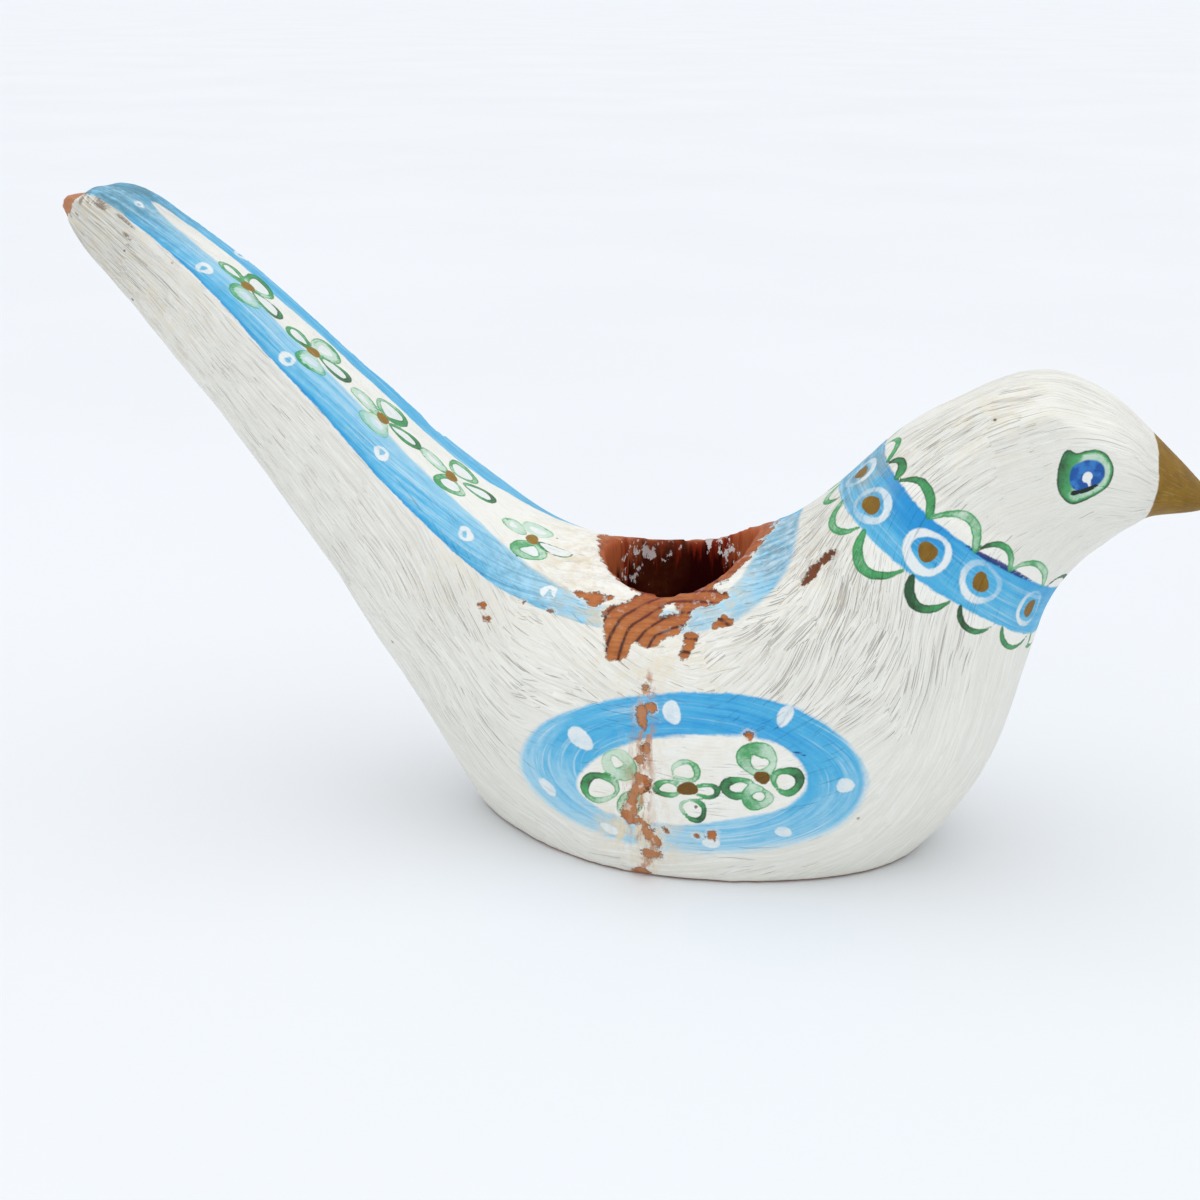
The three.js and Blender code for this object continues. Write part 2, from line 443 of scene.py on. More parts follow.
# Tail flowers: centre on the top chart, then four petals as (along, across, half length, half width, stroke,
# lighter tone, darker tone, where it is darkest).
TAIL_FLOWERS = (
    ((27.8, -1.6), (
        (-2.9, 0.2, 2.0, 1.3, 0.85, 0.45, 0.62, 0.5),
        (0.5, 3.0, 2.1, 2.4, 0.80, 0.30, 0.72, 0.05),
        (3.7, 0.1, 2.7, 1.5, 0.60, 0.62, 0.90, 0.0),
        (1.2, -3.1, 2.0, 1.7, 0.95, 0.28, 0.50, 0.8),
    )),
    ((41.1, -2.3), (
        (-2.9, 0.2, 2.0, 1.5, 0.75, 0.55, 0.85, 0.45),
        (0.6, 3.3, 2.1, 2.4, 0.75, 0.25, 0.62, 0.0),
        (3.7, 0.9, 2.7, 1.5, 0.70, 0.60, 0.98, 0.95),
        (1.1, -3.1, 2.0, 1.9, 0.85, 0.22, 0.55, 0.85),
    )),
    ((54.8, -2.2), (
        (-3.6, 0.2, 2.3, 1.3, 0.80, 0.25, 0.50, 0.55),
        (-0.1, 3.6, 2.3, 2.3, 0.80, 0.35, 0.80, 0.65),
        (3.8, 0.9, 2.6, 1.4, 0.75, 0.55, 0.90, 0.0),
        (0.0, -2.9, 2.1, 2.0, 1.00, 0.20, 0.32, 0.9),
    )),
    ((67.6, -1.3), (
        (-3.4, 0.6, 2.5, 1.4, 0.60, 0.28, 0.45, 0.5),
        (0.6, 3.8, 2.1, 2.1, 0.70, 0.32, 0.55, 0.0),
        (4.6, 1.4, 2.4, 1.5, 0.65, 0.50, 0.98, 0.0),
        (0.8, -2.7, 2.1, 2.0, 0.90, 0.32, 0.62, 0.85),
    )),
    ((82.7, -4.5), (
        (-3.3, 1.3, 1.8, 1.4, 0.65, 0.18, 0.35, 0.5),
        (-0.2, 3.6, 2.1, 2.0, 0.45, 0.10, 0.22, 0.0),
        (3.6, -1.0, 2.6, 1.4, 0.30, 0.60, 0.85, 0.7),
        (0.7, -3.7, 1.9, 2.2, 1.20, 0.35, 0.55, 0.75),
    )),
)

# How much broader than the table says the flowers' outlines are brushed.
TAIL_BROADER, WING_BROADER = 1.45, 1.30
# Petals lighter than this have thin green washed inside their outline: its size as a share, stroke and tones.
THIN_GREEN = 0.3
WASH_SIZE = 0.74
WASH_WIDTH = 1.0
WASH_TONES = (-0.35, -0.20)
# Half sizes of a tail flower's centre, and the tones of the flowers' ochre and of the white in a petal.
TAIL_CENTRE_HALF = (1.05, 1.55)
TAIL_OCHRE, WING_OCHRE = 0.75, 0.15
PETAL_WHITE = 0.60

# The border is palest beside the strip and deeper outwards. Towards the saddle it is paler, along the tail's
# rim deepest, and on the far side plain.
BORDER_PALEST, BORDER_DEEPER = 0.10, 0.34
SADDLE_PALER, SADDLE_BETWEEN = 0.16, (76, 90)
TAIL_RIM_DEEPER, TAIL_RIM_BETWEEN, TAIL_RIM_TO = 0.45, (0.88, 0.98), 80
FAR_BORDER = 0.46
# Up to here along the back, at the tail's end, a point counts as lying at this share of the border's width.
TAIL_END_TO, TAIL_END_SHARE = 9, 0.55
# How soft the border's edge is: on the far side, where it is loosely brushed, and elsewhere.
FAR_SOFT, LOOSE_SOFT, FIRM_SOFT = 0.22, 0.55, 0.14
LOOSE_WITHIN, LOOSE_FROM = 0.45, 97

# Wing oval on the side chart.
WING_OUTSIDE = (
    (-19.2, 15), (-17.0, 20.6), (-12.6, 24.0), (-4.3, 27.0), (6.4, 28.6), (17.4, 28.4), (25.5, 25.1),
    (30.2, 17.8), (27.4, 10.4), (19.5, 7.0), (10.1, 5.5), (-1.1, 5.0), (-11.4, 7.2), (-17.4, 11.0),
)
WING_INSIDE = (
    (-10.4, 14.0), (-9.0, 16.6), (-4.0, 20.8), (5.0, 22.8), (13.0, 23.3), (18.6, 22.3), (22.2, 17.8),
    (20.2, 13.6), (12.8, 11.0), (2.0, 9.2), (-5.5, 9.8), (-9.4, 12.0),
)
# White dabs: place, half sizes and turn.
WING_DABS = (
    (-9.6, 20.7, 2.1, 1.35, -42), (-14.6, 12.4, 1.65, 1.0, -50), (-5.5, 7.5, 1.4, 0.8, -22),
    (3.0, 25.5, 1.6, 1.25, -50), (18.2, 26.2, 1.7, 0.95, 68), (26.6, 16.8, 1.35, 1.15, -40),
    (18.6, 9.4, 1.2, 0.85, -22), (8.9, 7.1, 1.25, 0.9, -8),
)
# Wing flowers: centre and its half sizes, then petals as (x, z, half length, half height, turn, stroke,
# lighter tone, darker tone, where it is darkest).
WING_FLOWERS = (
    ((-0.6, 14.9, 1.2, 1.2), (
        (-6.7, 13.8, 2.30, 1.95, -8, 0.90, 0.20, 0.85, 0.42),
        (-4.1, 17.8, 1.75, 1.50, -6, 1.50, 0.06, 0.24, 0.85),
        (-2.4, 11.9, 1.40, 1.75, -20, 0.75, 0.12, 0.34, 0.5),
    )),
    ((5.6, 15.2, 1.35, 1.1), (
        (5.2, 17.7, 1.60, 1.45, -10, 0.70, 0.06, 0.36, 0.05),
        (2.9, 15.0, 1.80, 0.95, 8, 0.70, 0.18, 0.85, 0.50),
        (8.1, 15.1, 1.55, 0.95, -6, 0.55, 0.25, 0.78, 0.04),
        (6.4, 12.1, 1.70, 1.40, -10, 0.60, 0.18, 0.85, 0.90),
    )),
    ((15.6, 17.6, 1.0, 1.05), (
        (15.0, 19.9, 1.85, 1.80, -12, 1.50, 0.14, 0.48, 0.35),
        (12.4, 15.9, 1.95, 1.10, 6, 0.90, 0.26, 0.85, 0.52),
        (18.9, 17.2, 1.60, 1.80, 14, 0.95, 0.34, 0.95, 0.02),
        (15.1, 14.7, 1.60, 1.15, -6, 1.25, 0.16, 0.42, 0.62),
    )),
)
# Tones of every petal on the far side.
FAR_PETALS = (0.35, 0.6)
WING_TICK = ((19.4, 21.4), (20.5, 21.4), (21.4, 20.9))
WING_TICK_WIDTH = 0.34
# Rust that has bled down the wing over its chips.
WING_RUST = (
    (-0.9, 29.6), (-0.6, 25), (-0.8, 20), (-0.8, 16), (-2.0, 12), (-1.2, 9), (0.6, 6), (0.6, 4), (-1.2, 0.5),
)
WING_RUST_WIDTH = 3.0

# Collar on its chart: degrees round the neck from the nape, and millimetres along the neck.
COLLAR_UPPER = ((0, 64.2), (45, 63.8), (70, 63.5), (96, 64.0), (129, 64.9), (150, 64.8), (180, 64.4))
COLLAR_LOWER = ((0, 55.4), (38, 55.9), (66, 56.3), (91, 56.7), (106, 57.5), (138, 58.2), (180, 57.6))
# Where the band is drawn on past the nape and past the throat, on the chart.
COLLAR_ENDS = (-3, 53)
# Dots: place, half sizes of the ochre, half sizes and stroke of the white ring, its tones, and where it is
# strongest.
COLLAR_DOTS = (
    (14.4, 59.7, 1.5, 1.2, 2.5, 2.3, 1.00, 0.20, 0.70, 0.1),
    (42.9, 59.0, 1.4, 1.4, 2.5, 2.3, 1.10, 0.30, 0.80, 0.0),
    (79.2, 60.1, 1.2, 1.4, 2.5, 2.6, 1.30, 0.85, 1.00, 0.6),
    (107.4, 61.3, 1.2, 1.2, 2.5, 2.3, 0.95, 0.25, 0.85, 0.6),
    (141.0, 61.4, 1.1, 1.15, 2.2, 2.2, 0.70, 0.25, 0.75, 0.55),
    (180.0, 61.0, 1.1, 1.1, 2.3, 2.3, 0.80, 0.35, 0.60, 0.0),
)
# A dark streak along the collar's upper edge.
COLLAR_STREAK = ((91, 63.8), (101, 64.1), (110, 64.5), (118, 64.6), (131, 64.8))
COLLAR_STREAK_WIDTH = 0.70
# Scallops: from and to in degrees, bulge and stroke in millimetres, tones at start and end.
SCALLOPS_ABOVE = (
    (4, 27, 2.2, 1.0, 0.40, 0.50), (29, 41.5, 1.6, 1.25, 0.80, 0.60), (44, 68.5, 2.3, 1.25, 0.78, 0.52),
    (69.5, 96, 2.8, 1.25, 0.26, 0.36), (96.5, 116.5, 2.3, 0.85, 0.85, 0.30),
    (117, 140.5, 2.2, 0.95, 0.32, 0.24), (144.5, 170, 2.0, 0.75, 0.85, 0.75),
)
SCALLOPS_BELOW = (
    (3, 20, 2.3, 1.05, 0.45, 0.50), (25.5, 47.5, 2.9, 1.05, 0.34, 0.45), (50.5, 77, 3.5, 1.25, 0.45, 0.62),
    (81.5, 101.5, 2.7, 1.15, 1.00, 0.66), (106, 125, 2.1, 0.70, 1.00, 0.50),
    (129.5, 152, 2.3, 0.65, 0.60, 0.48), (156, 177, 2.2, 0.65, 0.50, 0.45),
)

# Eye on the side chart.
EYE_OUTSIDE = (
    (51.6, 62.2), (50.9, 60.2), (50.8, 57.9), (51.6, 56.1), (53.0, 55.1), (54.2, 55.5), (56.0, 56.4),
    (57.5, 57.6), (58.0, 59.7), (57.2, 61.6), (55.8, 62.3), (54.5, 62.3), (52.9, 61.8), (52.2, 62.4),
)
EYE_IRIS = (
    (52.35, 58.9), (52.7, 60.2), (53.7, 60.8), (54.9, 61.1), (56.2, 60.8), (56.9, 59.7), (56.7, 58.4),
    (55.7, 57.5), (54.5, 57.0), (53.6, 56.9), (52.7, 57.5),
)
EYE_LID = ((53.0, 56.7), (53.9, 56.85), (55.1, 57.3), (56.1, 57.9))
EYE_LID_WIDTH = 0.62
# The lid's thick end and the glint: place and half sizes. The glint has a tail.
LID_END, LID_END_HALF = (53.2, 56.75), (0.55, 0.36)
GLINT, GLINT_HALF = (54.65, 58.8), (0.62, 0.74)
GLINT_TAIL, GLINT_TAIL_WIDTH = ((54.85, 58.4), (55.1, 57.5)), 0.42
# The head lies past this place. The eye's tones are laid between two places along it, above a height.
HEAD_FROM = 44
EYE_BOX = (49, 60, 53.5)
# Beak, seen from the side. It lies past this place.
BEAK_EDGE = (
    (61, 46), (63.1, 52.2), (63.8, 55.4), (64.0, 57.3), (63.8, 58.6), (63.8, 60.7), (63.2, 62.2), (62.4, 64),
    (62, 70), (80, 70), (80, 46),
)
BEAK_FROM = 58

# Bare wood below the socket, on the top chart, and the paint that still sits on it.
BARE_FRONT = (
    (101.5, -11), (100, -16.2), (96.3, -18.6), (97.0, -21.8), (97.9, -25.6), (98.4, -29.6), (100.7, -29.4),
    (101.0, -25.2), (102.2, -26.6), (103.8, -26.9), (104.4, -24.6), (106.3, -23.8), (107.3, -21.4),
    (107.0, -18.6), (109.6, -18.5), (112.0, -17.2), (110.0, -15.2), (107.5, -11),
)
BARE_FRONT_ISLANDS = (((103.0, -19.8), (104.9, -16.6), (105.5, -18.0), (105.1, -20.6)),)
BARE_TOP_PATCHES = (
    ((106.6, -24.0), (108.2, -24.2), (108.1, -26.0), (107.0, -29.9), (106.3, -28.8), (106.9, -26.2)),
    ((109.6, -23.5), (110.5, -22.0), (111.3, -21.6), (112.3, -23.2), (111.5, -24.3)),
    ((91.6, -16.0), (94.2, -14.6), (95.8, -15.4), (97.6, -16.0), (95.6, -17.4), (94.9, -18.7), (93.9, -16.9)),
    ((80.9, -24.1), (81.8, -23.1), (82.6, -24.2), (81.7, -25.2)),
    ((82.0, -25.5), (83.5, -25.4), (84.0, -26.7), (82.8, -26.5)),
    ((85.6, -20.9), (86.4, -20.3), (86.6, -21.3)),
    ((89.6, -21.2), (90.6, -20.8), (90.4, -21.8)),
)
# How far the wood is bare outwards from the socket's rim: degrees round the socket, and millimetres.
BARE_RIM = (
    (-180, 0.9), (-150, 0.5), (-125, 0.5), (-100, 1.2), (-70, 1.4), (-50, 2.2), (-30, 2.3), (-10, 2.0),
    (10, 2.4), (28, 4.4), (45, 3.6), (70, 1.4), (100, 0.9), (130, 1.6), (150, 4.0), (165, 2.6), (180, 0.9),
)
RIM_BARE_REACH = 12
# Chips down the wing, on the near side chart.
WING_CHIPS = (
    ((-1.4, 28.3), (-0.4, 28.6), (-0.5, 27.8)),
    ((-1.9, 26.0), (0.7, 26.3), (0.7, 25.3), (-0.5, 24.8), (-0.5, 22.9), (-1.6, 22.8), (-1.6, 24.7)),
    ((-1.1, 21.4), (-0.1, 21.4), (0.1, 19.9), (-1.0, 19.8)),
    ((-1.6, 19.0), (-0.8, 19.3), (-0.7, 18.0), (-1.5, 17.9)),
    ((-2.0, 16.2), (-0.7, 16.7), (0.6, 15.5), (0.1, 14.3), (-1.0, 13.4), (-2.1, 14.2)),
    ((-2.8, 13.7), (-1.4, 13.4), (-1.2, 10.9), (-2.2, 9.1), (-3.7, 9.6), (-3.8, 11.2), (-2.9, 12.6)),
    ((-1.7, 9.9), (-0.6, 10.4), (0.3, 8.6), (2.4, 6.4), (1.0, 5.5), (-0.4, 6.9), (-1.1, 8.4)),
    ((-0.9, 4.9), (0.6, 4.8), (2.4, 4.2), (1.0, 3.3), (-0.5, 3.6)),
    ((-3.0, 0.2), (-1.6, 1.4), (0.3, 0.9), (0.2, 0.1)),
    ((12.7, 23.5), (13.7, 24.0), (14.2, 23.2), (13.4, 22.6)),
    ((8.3, 8.9), (9.6, 9.2), (9.6, 7.5), (8.5, 7.8)),
    ((6.2, 8.2), (7.3, 8.7), (7.4, 7.8)),
    ((1.8, 8.7), (2.9, 9.0), (2.8, 8.1)),
)
# The tail's near corner, and how far round it the paint is gone.
TAIL_CORNER = (-88.8, -5.0, 89.2)
TAIL_CORNER_WORN = 2.4
# Scratches at the tail's end, on the near side chart: stroke, then the line.
TAIL_SCRATCHES = (
    (0.60, ((-85.9, 90.6), (-85.8, 89.6), (-85.6, 88.6))), (0.50, ((-86.7, 90.8), (-86.5, 89.8))),
    (0.36, ((-85.0, 90.2), (-84.7, 89.3), (-84.1, 88.3))),
    (0.55, ((-84.0, 89.4), (-83.0, 88.8), (-81.6, 88.1))),
    (0.36, ((-84.0, 90.1), (-82.7, 89.4), (-81.0, 88.4))),
    (0.42, ((-80.4, 87.8), (-79.0, 86.9), (-77.6, 85.7))),
    (0.45, ((-79.3, 85.3), (-77.9, 84.2))), (0.45, ((-78.8, 83.7), (-78.1, 83.1))),
    (0.40, ((-87.6, 88.8), (-87.4, 87.6))), (0.40, ((-88.0, 88.2), (-87.3, 86.9))),
    (0.40, ((-86.6, 87.8), (-86.0, 87.0))),
)
# A scratch on the neck, no deeper below the back than this.
NECK_SCRATCH = ((18.9, 42.6), (20.2, 43.4), (20.7, 44.7), (21.7, 45.6), (23.0, 46.9))
NECK_SCRATCH_WIDTH = 0.90
NECK_SCRATCH_TO = 14
# How far the tail's end is bare along the body, and how much farther at its lower edge.
TAIL_END_BARE, TAIL_END_BARER = 0.8, 0.9
# The sole is bare up to this height.
SOLE_BARE = 0.25


def closed_between(outer, inner):
    """The outline of what lies between two lines that run the same way."""
    return np.array(list(outer) + list(inner)[::-1], float)


def paint_border(charts, blue, white, cover):
    """Blue round the tail's top and the saddle, with a white strip and white dots."""
    outside = np.array(BORDER_OUTSIDE)
    blue.area(charts.top, closed_between(outside, outside * (1, -1)), 0.4, 1)
    near = [(s, -c) for s, c in STRIP_NEAR]
    blue.leave(charts.top, closed_between(near, STRIP_FAR), 1)
    cover.area(charts.top, closed_between(near, STRIP_FAR), 0.5, 1)
    s, across, allowed = charts.along_back, np.abs(charts.top[1]), charts.top[2]
    inner = np.where(charts.y < 0, read_at(s, STRIP_NEAR), read_at(s, STRIP_FAR))
    share = ramp(across, inner, read_at(s, BORDER_OUTSIDE))
    share[s < TAIL_END_TO] = TAIL_END_SHARE
    on_border = allowed & (blue.edge < 2)
    tone = BORDER_PALEST + BORDER_DEEPER * share ** 1.2 - SADDLE_PALER * ramp(s, *SADDLE_BETWEEN)
    tone += TAIL_RIM_DEEPER * ramp(share, *TAIL_RIM_BETWEEN) * (s < TAIL_RIM_TO)
    far = charts.y > 0
    tone[far] = FAR_BORDER
    blue.tone[on_border] = tone[on_border]
    loose = (share < LOOSE_WITHIN) | (s > LOOSE_FROM)
    blue.soft[on_border] = np.where(far, FAR_SOFT, np.where(loose, LOOSE_SOFT, FIRM_SOFT))[on_border]
    for i, (s0, c0) in enumerate(TAIL_DOTS):
        for side in (-1, 1):
            dot = ellipse((s0, side * c0), TAIL_DOT_HALF, 0, 0.10, i)
            white.ring(charts.top, dot, TAIL_DOT_WIDTH, (0.7, 1.0), (0.2 + 0.3 * i) % 1)
    white.ring(charts.top, ellipse(END_DOT, END_DOT_HALF, 20, 0.1), END_DOT_WIDTH, (0.8, 1.0), 0.2)


def paint_tail_flowers(charts, green, ochre, white):
    """Four-petalled flowers along the white strip."""
    for i, (middle, petals) in enumerate(TAIL_FLOWERS):
        for k, (du, dv, a, b, width, light, dark, darkest) in enumerate(petals):
            centre = (middle[0] + du, middle[1] + dv)
            outline = petal(middle, centre, (a, b), 0.05, i + 2 * k)
            green.ring(charts.top, outline, TAIL_BROADER * width, (light - 0.1, dark - 0.08), darkest)
            if light < THIN_GREEN:
                inner = petal(middle, centre, (WASH_SIZE * a, WASH_SIZE * b), 0.08, i + k)
                green.ring(charts.top, inner, WASH_WIDTH, WASH_TONES, darkest)
            white.area(charts.top, outline, PETAL_WHITE)
        ochre.area(charts.top, ellipse(middle, TAIL_CENTRE_HALF, 4, 0.10, i), TAIL_OCHRE)


def paint_wing(charts, side, blue, green, ochre, white, night, cover, plain):
    """Blue oval with white dabs round three flowers."""
    cover.area(side, WING_OUTSIDE)
    blue.area(side, WING_OUTSIDE, 0.7)
    blue.leave(side, WING_INSIDE)
    oval = side[2] & (blue.edge < REACH) & charts.on_wing()
    angle, share = charts.oval_place()
    outward = ramp(share, 0.62, 1)
    # Deeper above and ahead, and thin along the outer edge, most of all below.
    upward, forward = np.sin(angle), np.cos(angle)
    tone = 0.44 + 0.26 * upward + 0.08 * forward - 0.32 * outward ** 2 * (1 - 0.8 * np.clip(upward, 0, 1))
    blue.tone[oval] = np.clip(tone, 0.02, 1)[oval]
    blue.soft[oval] = np.where(outward > 0.5, 0.70 - 0.50 * np.clip(upward, 0, 1), 0.30)[oval]
    night.stroke(side, WING_TICK, WING_TICK_WIDTH, ends=0.3)
    for i, (x0, z0, a, b, turn) in enumerate(WING_DABS):
        white.area(side, ellipse((x0, z0), (a, b), turn, 0.07, i), 0.75)
    for i, (centre, petals) in enumerate(WING_FLOWERS):
        for k, (px, pz, a, b, turn, width, light, dark, darkest) in enumerate(petals):
            tones = FAR_PETALS if plain else (light, dark)
            outline = ellipse((px, pz), (a, b), turn, 0.09, i + 3 * k)
            green.ring(side, outline, width * WING_BROADER, tones, darkest)
        ochre.area(side, ellipse(centre[:2], centre[2:], 0, 0.12, i), WING_OCHRE)


def collar_points(points):
    """Places on the collar's chart, from degrees round the neck."""
    return [(math.radians(a) * Charts.COLLAR_RADIUS, h) for a, h in points]


def scallop(start, end, bulge, edge, side):
    """A bow from one place on the collar's edge to another."""
    share = np.linspace(0, 1, 9)
    angles = start + (end - start) * share
    heights = read_at(angles, edge) + side * bulge * np.sin(np.pi * share) ** 0.62
    return collar_points(zip(angles, heights))


def paint_collar(charts, blue, green, ochre, white, night, cover):
    """Blue collar with ringed dots, and scallops along both of its edges."""
    chart = charts.collar
    band = closed_between(collar_points(COLLAR_UPPER), collar_points(COLLAR_LOWER))
    from_nape = band[:, 0].copy()
    band[from_nape <= 0, 0], band[from_nape > 48, 0] = COLLAR_ENDS
    blue.area(chart, band, 0.6, 1)
    on_band = chart[2] & (blue.edge < 1)
    # Deepest above, at the side of the neck, and thinner at the nape.
    angle, h = charts.collar_angle, chart[1]
    tone = 0.50 + 0.55 * np.exp(-((angle - 66) / 24) ** 2) * ramp(h, 58.5, 61.5)
    tone += 0.22 * ramp(h, 62, 64) - 0.16 * ramp(angle, 34, 14)
    blue.tone[on_band] = tone[on_band]
    night.stroke(chart, collar_points(COLLAR_STREAK), COLLAR_STREAK_WIDTH, ends=0.3)
    for i, (a, h0, ou, oh, ru, rh, width, light, strong, strongest) in enumerate(COLLAR_DOTS):
        (centre,) = collar_points([(a, h0)])
        white.ring(chart, ellipse(centre, (ru, rh), 20, 0.08, i), width, (light, strong), strongest)
        ochre.area(chart, ellipse(centre, (ou, oh), 0, 0.12, i), 0.45)
    for bows, edge, side, broader, ends, lean in (
        (SCALLOPS_ABOVE, COLLAR_UPPER, 1, 1.0, 0.45, -0.35),
        (SCALLOPS_BELOW, COLLAR_LOWER, -1, 1.1, 0.35, 0.45),
    ):
        for start, end, bulge, width, first, last in bows:
            bow = scallop(start, end, bulge, edge, side)
            green.stroke(chart, bow, width * broader, (first, last), ends, lean=lean)
            cover.area(chart, bow, rounds=0)


def paint_eye(side, green, iris, white, dark):
    """Green ring, blue iris, dark lower lid and a white glint."""
    x, z, allowed = side
    head = (x, z, allowed & (x > HEAD_FROM))
    green.area(head, EYE_OUTSIDE)
    behind, ahead, above = EYE_BOX
    ring = head[2] & (green.edge < 0.3) & (x > behind) & (x < ahead) & (z > above)
    # Darkest behind, and paler towards the beak.
    tone = np.clip(0.95 - 0.30 * (x - 51.0) + 0.05 * (z - 58), 0.22, 0.95)
    green.tone[ring] = tone[ring]
    green.deepen(head, rounded(EYE_OUTSIDE, True, 1), 0.40, 0.85)
    iris.area(head, EYE_IRIS)
    dark.stroke(head, EYE_LID, EYE_LID_WIDTH, ends=0.45)
    dark.area(head, ellipse(LID_END, LID_END_HALF, 10))
    white.area(head, ellipse(GLINT, GLINT_HALF, -15, 0.06), 1.0)
    white.stroke(head, GLINT_TAIL, GLINT_TAIL_WIDTH, (1.0, 1.0))


def paint_beak(charts, ochre):
    """Ochre beak."""
    ochre.area((charts.x, charts.z, charts.x > BEAK_FROM), BEAK_EDGE, 0.6, 1)


def wear_paint(charts, bare, rust, scratch, socket_radius):
    """Where the paint has gone and the wood shows, where rust has bled over it, and where it is scratched."""
    rust.stroke(charts.near, WING_RUST, WING_RUST_WIDTH, ends=0.5)
    bare.area(charts.top, BARE_FRONT, 0.5, 1)
    for island in BARE_FRONT_ISLANDS:
        bare.leave(charts.top, island, 1)
    for patch in BARE_TOP_PATCHES:
        bare.area(charts.top, patch, 0.4, 1)
    for chip in WING_CHIPS:
        bare.area(charts.near, chip, 0.4, 1)
    neck = (charts.x, charts.z, charts.near[2] & (charts.depth < NECK_SCRATCH_TO))
    bare.stroke(neck, NECK_SCRATCH, NECK_SCRATCH_WIDTH, (0.9, 0.9), 0.5, 1)
    margin = read_at(charts.bore_angle, BARE_RIM)
    by_socket = charts.from_axis < socket_radius + RIM_BARE_REACH
    on_top = np.nonzero((charts.top[2] | (charts.bore > 0)) & by_socket)[0]
    bare.lay(on_top, (charts.from_axis - socket_radius - margin)[on_top], 0.5)
    end = np.nonzero(charts.station < 2)[0]
    lower = ramp(charts.depth, 1, 4)
    bare.lay(end, (charts.along_body - TAIL_END_BARE - TAIL_END_BARER * lower)[end], 0.3)
    for width, line in TAIL_SCRATCHES:
        scratch.stroke(charts.near, line, width, ends=0.2, rounds=1)
    corner = np.linalg.norm(charts.points[end] - TAIL_CORNER, axis=1)
    bare.lay(end, corner - TAIL_CORNER_WORN, 0.3)
    sole = np.nonzero(charts.z < 1.5)[0]
    bare.lay(sole, (charts.z - SOLE_BARE)[sole] * 4, 0.3)


# Soft spots on the near side, mirrored on the far side: a place, its spread in millimetres, and its strength,
# which is negative where a spot takes away.
# These spots are dirt, except the last, on the cheek, which is painted shade on the head's flank.
GRIME_AND_SHADE = (
    ((-82, -2, 90), 9.0, 1.0), ((-87, -6, 86), 5.0, 0.8), ((-20, -14, 40), 8.0, 0.5),
    ((15, -5, 46), 8.0, 0.75), ((25, -4, 56), 7.0, 0.8), ((-4, -10, 42), 10.0, 0.4),
    ((40, -8, 66), 6.0, 0.15), ((50, -13, 56), 9.0, 0.18),
)
STAIN = (
    ((0, -18, 32), 8.0, 0.8), ((-15, -6, 42), 9.0, 1.0), ((-1, -22, 22), 5.0, 0.6), ((20, -14, 45), 8.0, 0.4),
    ((-2, -22, 10), 6.0, 0.8), ((42, -8, 66), 8.0, 0.7), ((-30, -15, 42), 6.0, 0.5), ((0, -22, 3), 5.0, 0.7),
    ((26, -8, 57), 6.0, 0.7), ((10, -22, 16), 14.0, 0.25), ((-84, -8, 85), 6.0, 1.0),
    ((-74, -8, 74), 10.0, 0.5),
)
FURROWED = (
    ((24, -16, 38), 13.0, 0.75), ((35, -17, 30), 12.0, 0.5), ((14, -20, 34), 8.0, 0.5),
    ((-62, -10, 66), 14.0, 0.30), ((-42, -14, 46), 15.0, 0.35), ((-80, -8, 82), 9.0, 0.8),
    ((40, -6, 67), 9.0, 0.6), ((33, -10, 62), 8.0, 0.7), ((50, -3, 69), 7.0, 0.3),
    ((-26, -17, 24), 12.0, 0.35),
    ((45, -12, 24), 12.0, -0.9), ((-10, -20, 33), 10.0, 0.3), ((20, -10, 48), 7.0, 0.8),
    ((36, -18, 12), 11.0, -0.8), ((52, -13, 57), 6.0, -0.6),
)
FADED = (
    ((0, -22, 8), 5.0, 1.0), ((-4, -22, 7), 4.0, 0.7), ((-8, -16, 38), 7.0, 0.9), ((8, -14, 41), 6.0, 0.6),
    ((26, -6, 57), 5.0, 0.5),
)
FLAKING = (
    ((13, -8, 44), 6.0, 1.0), ((15, -2, 46), 6.0, 1.0), ((-9, -12, 40), 5.0, 0.8), ((6, -15, 39), 5.0, 0.9),
    ((-12, -3, 42), 5.0, 0.6), ((-1, -22, 9), 5.0, 0.8), ((-1, -22, 17), 4.0, 0.8), ((-1, -21, 25), 3.0, 0.8),
)
WAX = (
    ((-8.2, -7.3, 36.4), 4.2, 1.1), ((-6.4, -9.0, 38.6), 2.4, 0.8), ((3.1, -10.5, 40.4), 3.0, 1.0),
    ((0.3, -11.0, 41.4), 2.4, 0.9), ((6.0, -9.2, 38.5), 2.6, 0.7), ((-3.5, -10.4, 39.4), 2.2, 0.9),
    ((10.0, -4.5, 40.5), 3.2, 0.95),
)
SOOT = (((-6.0, -9.2, 42.2), 3.0, 1.0), ((-2.0, -10.8, 42.8), 2.6, 0.8), ((2.0, -10.8, 43.0), 2.6, 0.5))


def spots(points, places):
    """A soft sum of spots."""
    points = points.copy()
    points[:, 1] = -np.abs(points[:, 1])
    total = np.zeros(len(points))
    for place, spread, strength in places:
        gap = np.linalg.norm(points - np.array(place, float), axis=1)
        total += strength * np.exp(-((gap / spread) ** 2))
    return np.clip(total, -1, 1)


# ----------------------------------------------------------------------
# Carving the piece
# ----------------------------------------------------------------------

# How much the socket's rim stands above the softened form: degrees round the socket, and millimetres.
RIM_LIFT = (
    (-180, 0.3), (-135, 0.0), (-90, -0.2), (-45, 0.0), (0, 0.3), (45, 0.9), (90, 1.2), (135, 0.9), (180, 0.3),
)
# The rim's height is read in slots round the socket, within a band, and evened by a few waves.
RIM_SLOTS = 72
RIM_BAND = 1.0
RIM_WAVES = (1, 2, 3)
# How far from the bore's edge the rim is shaped, and between which heights that sets in.
RIM_SPREAD = 2.6
RIM_SHAPED = (30, 39)
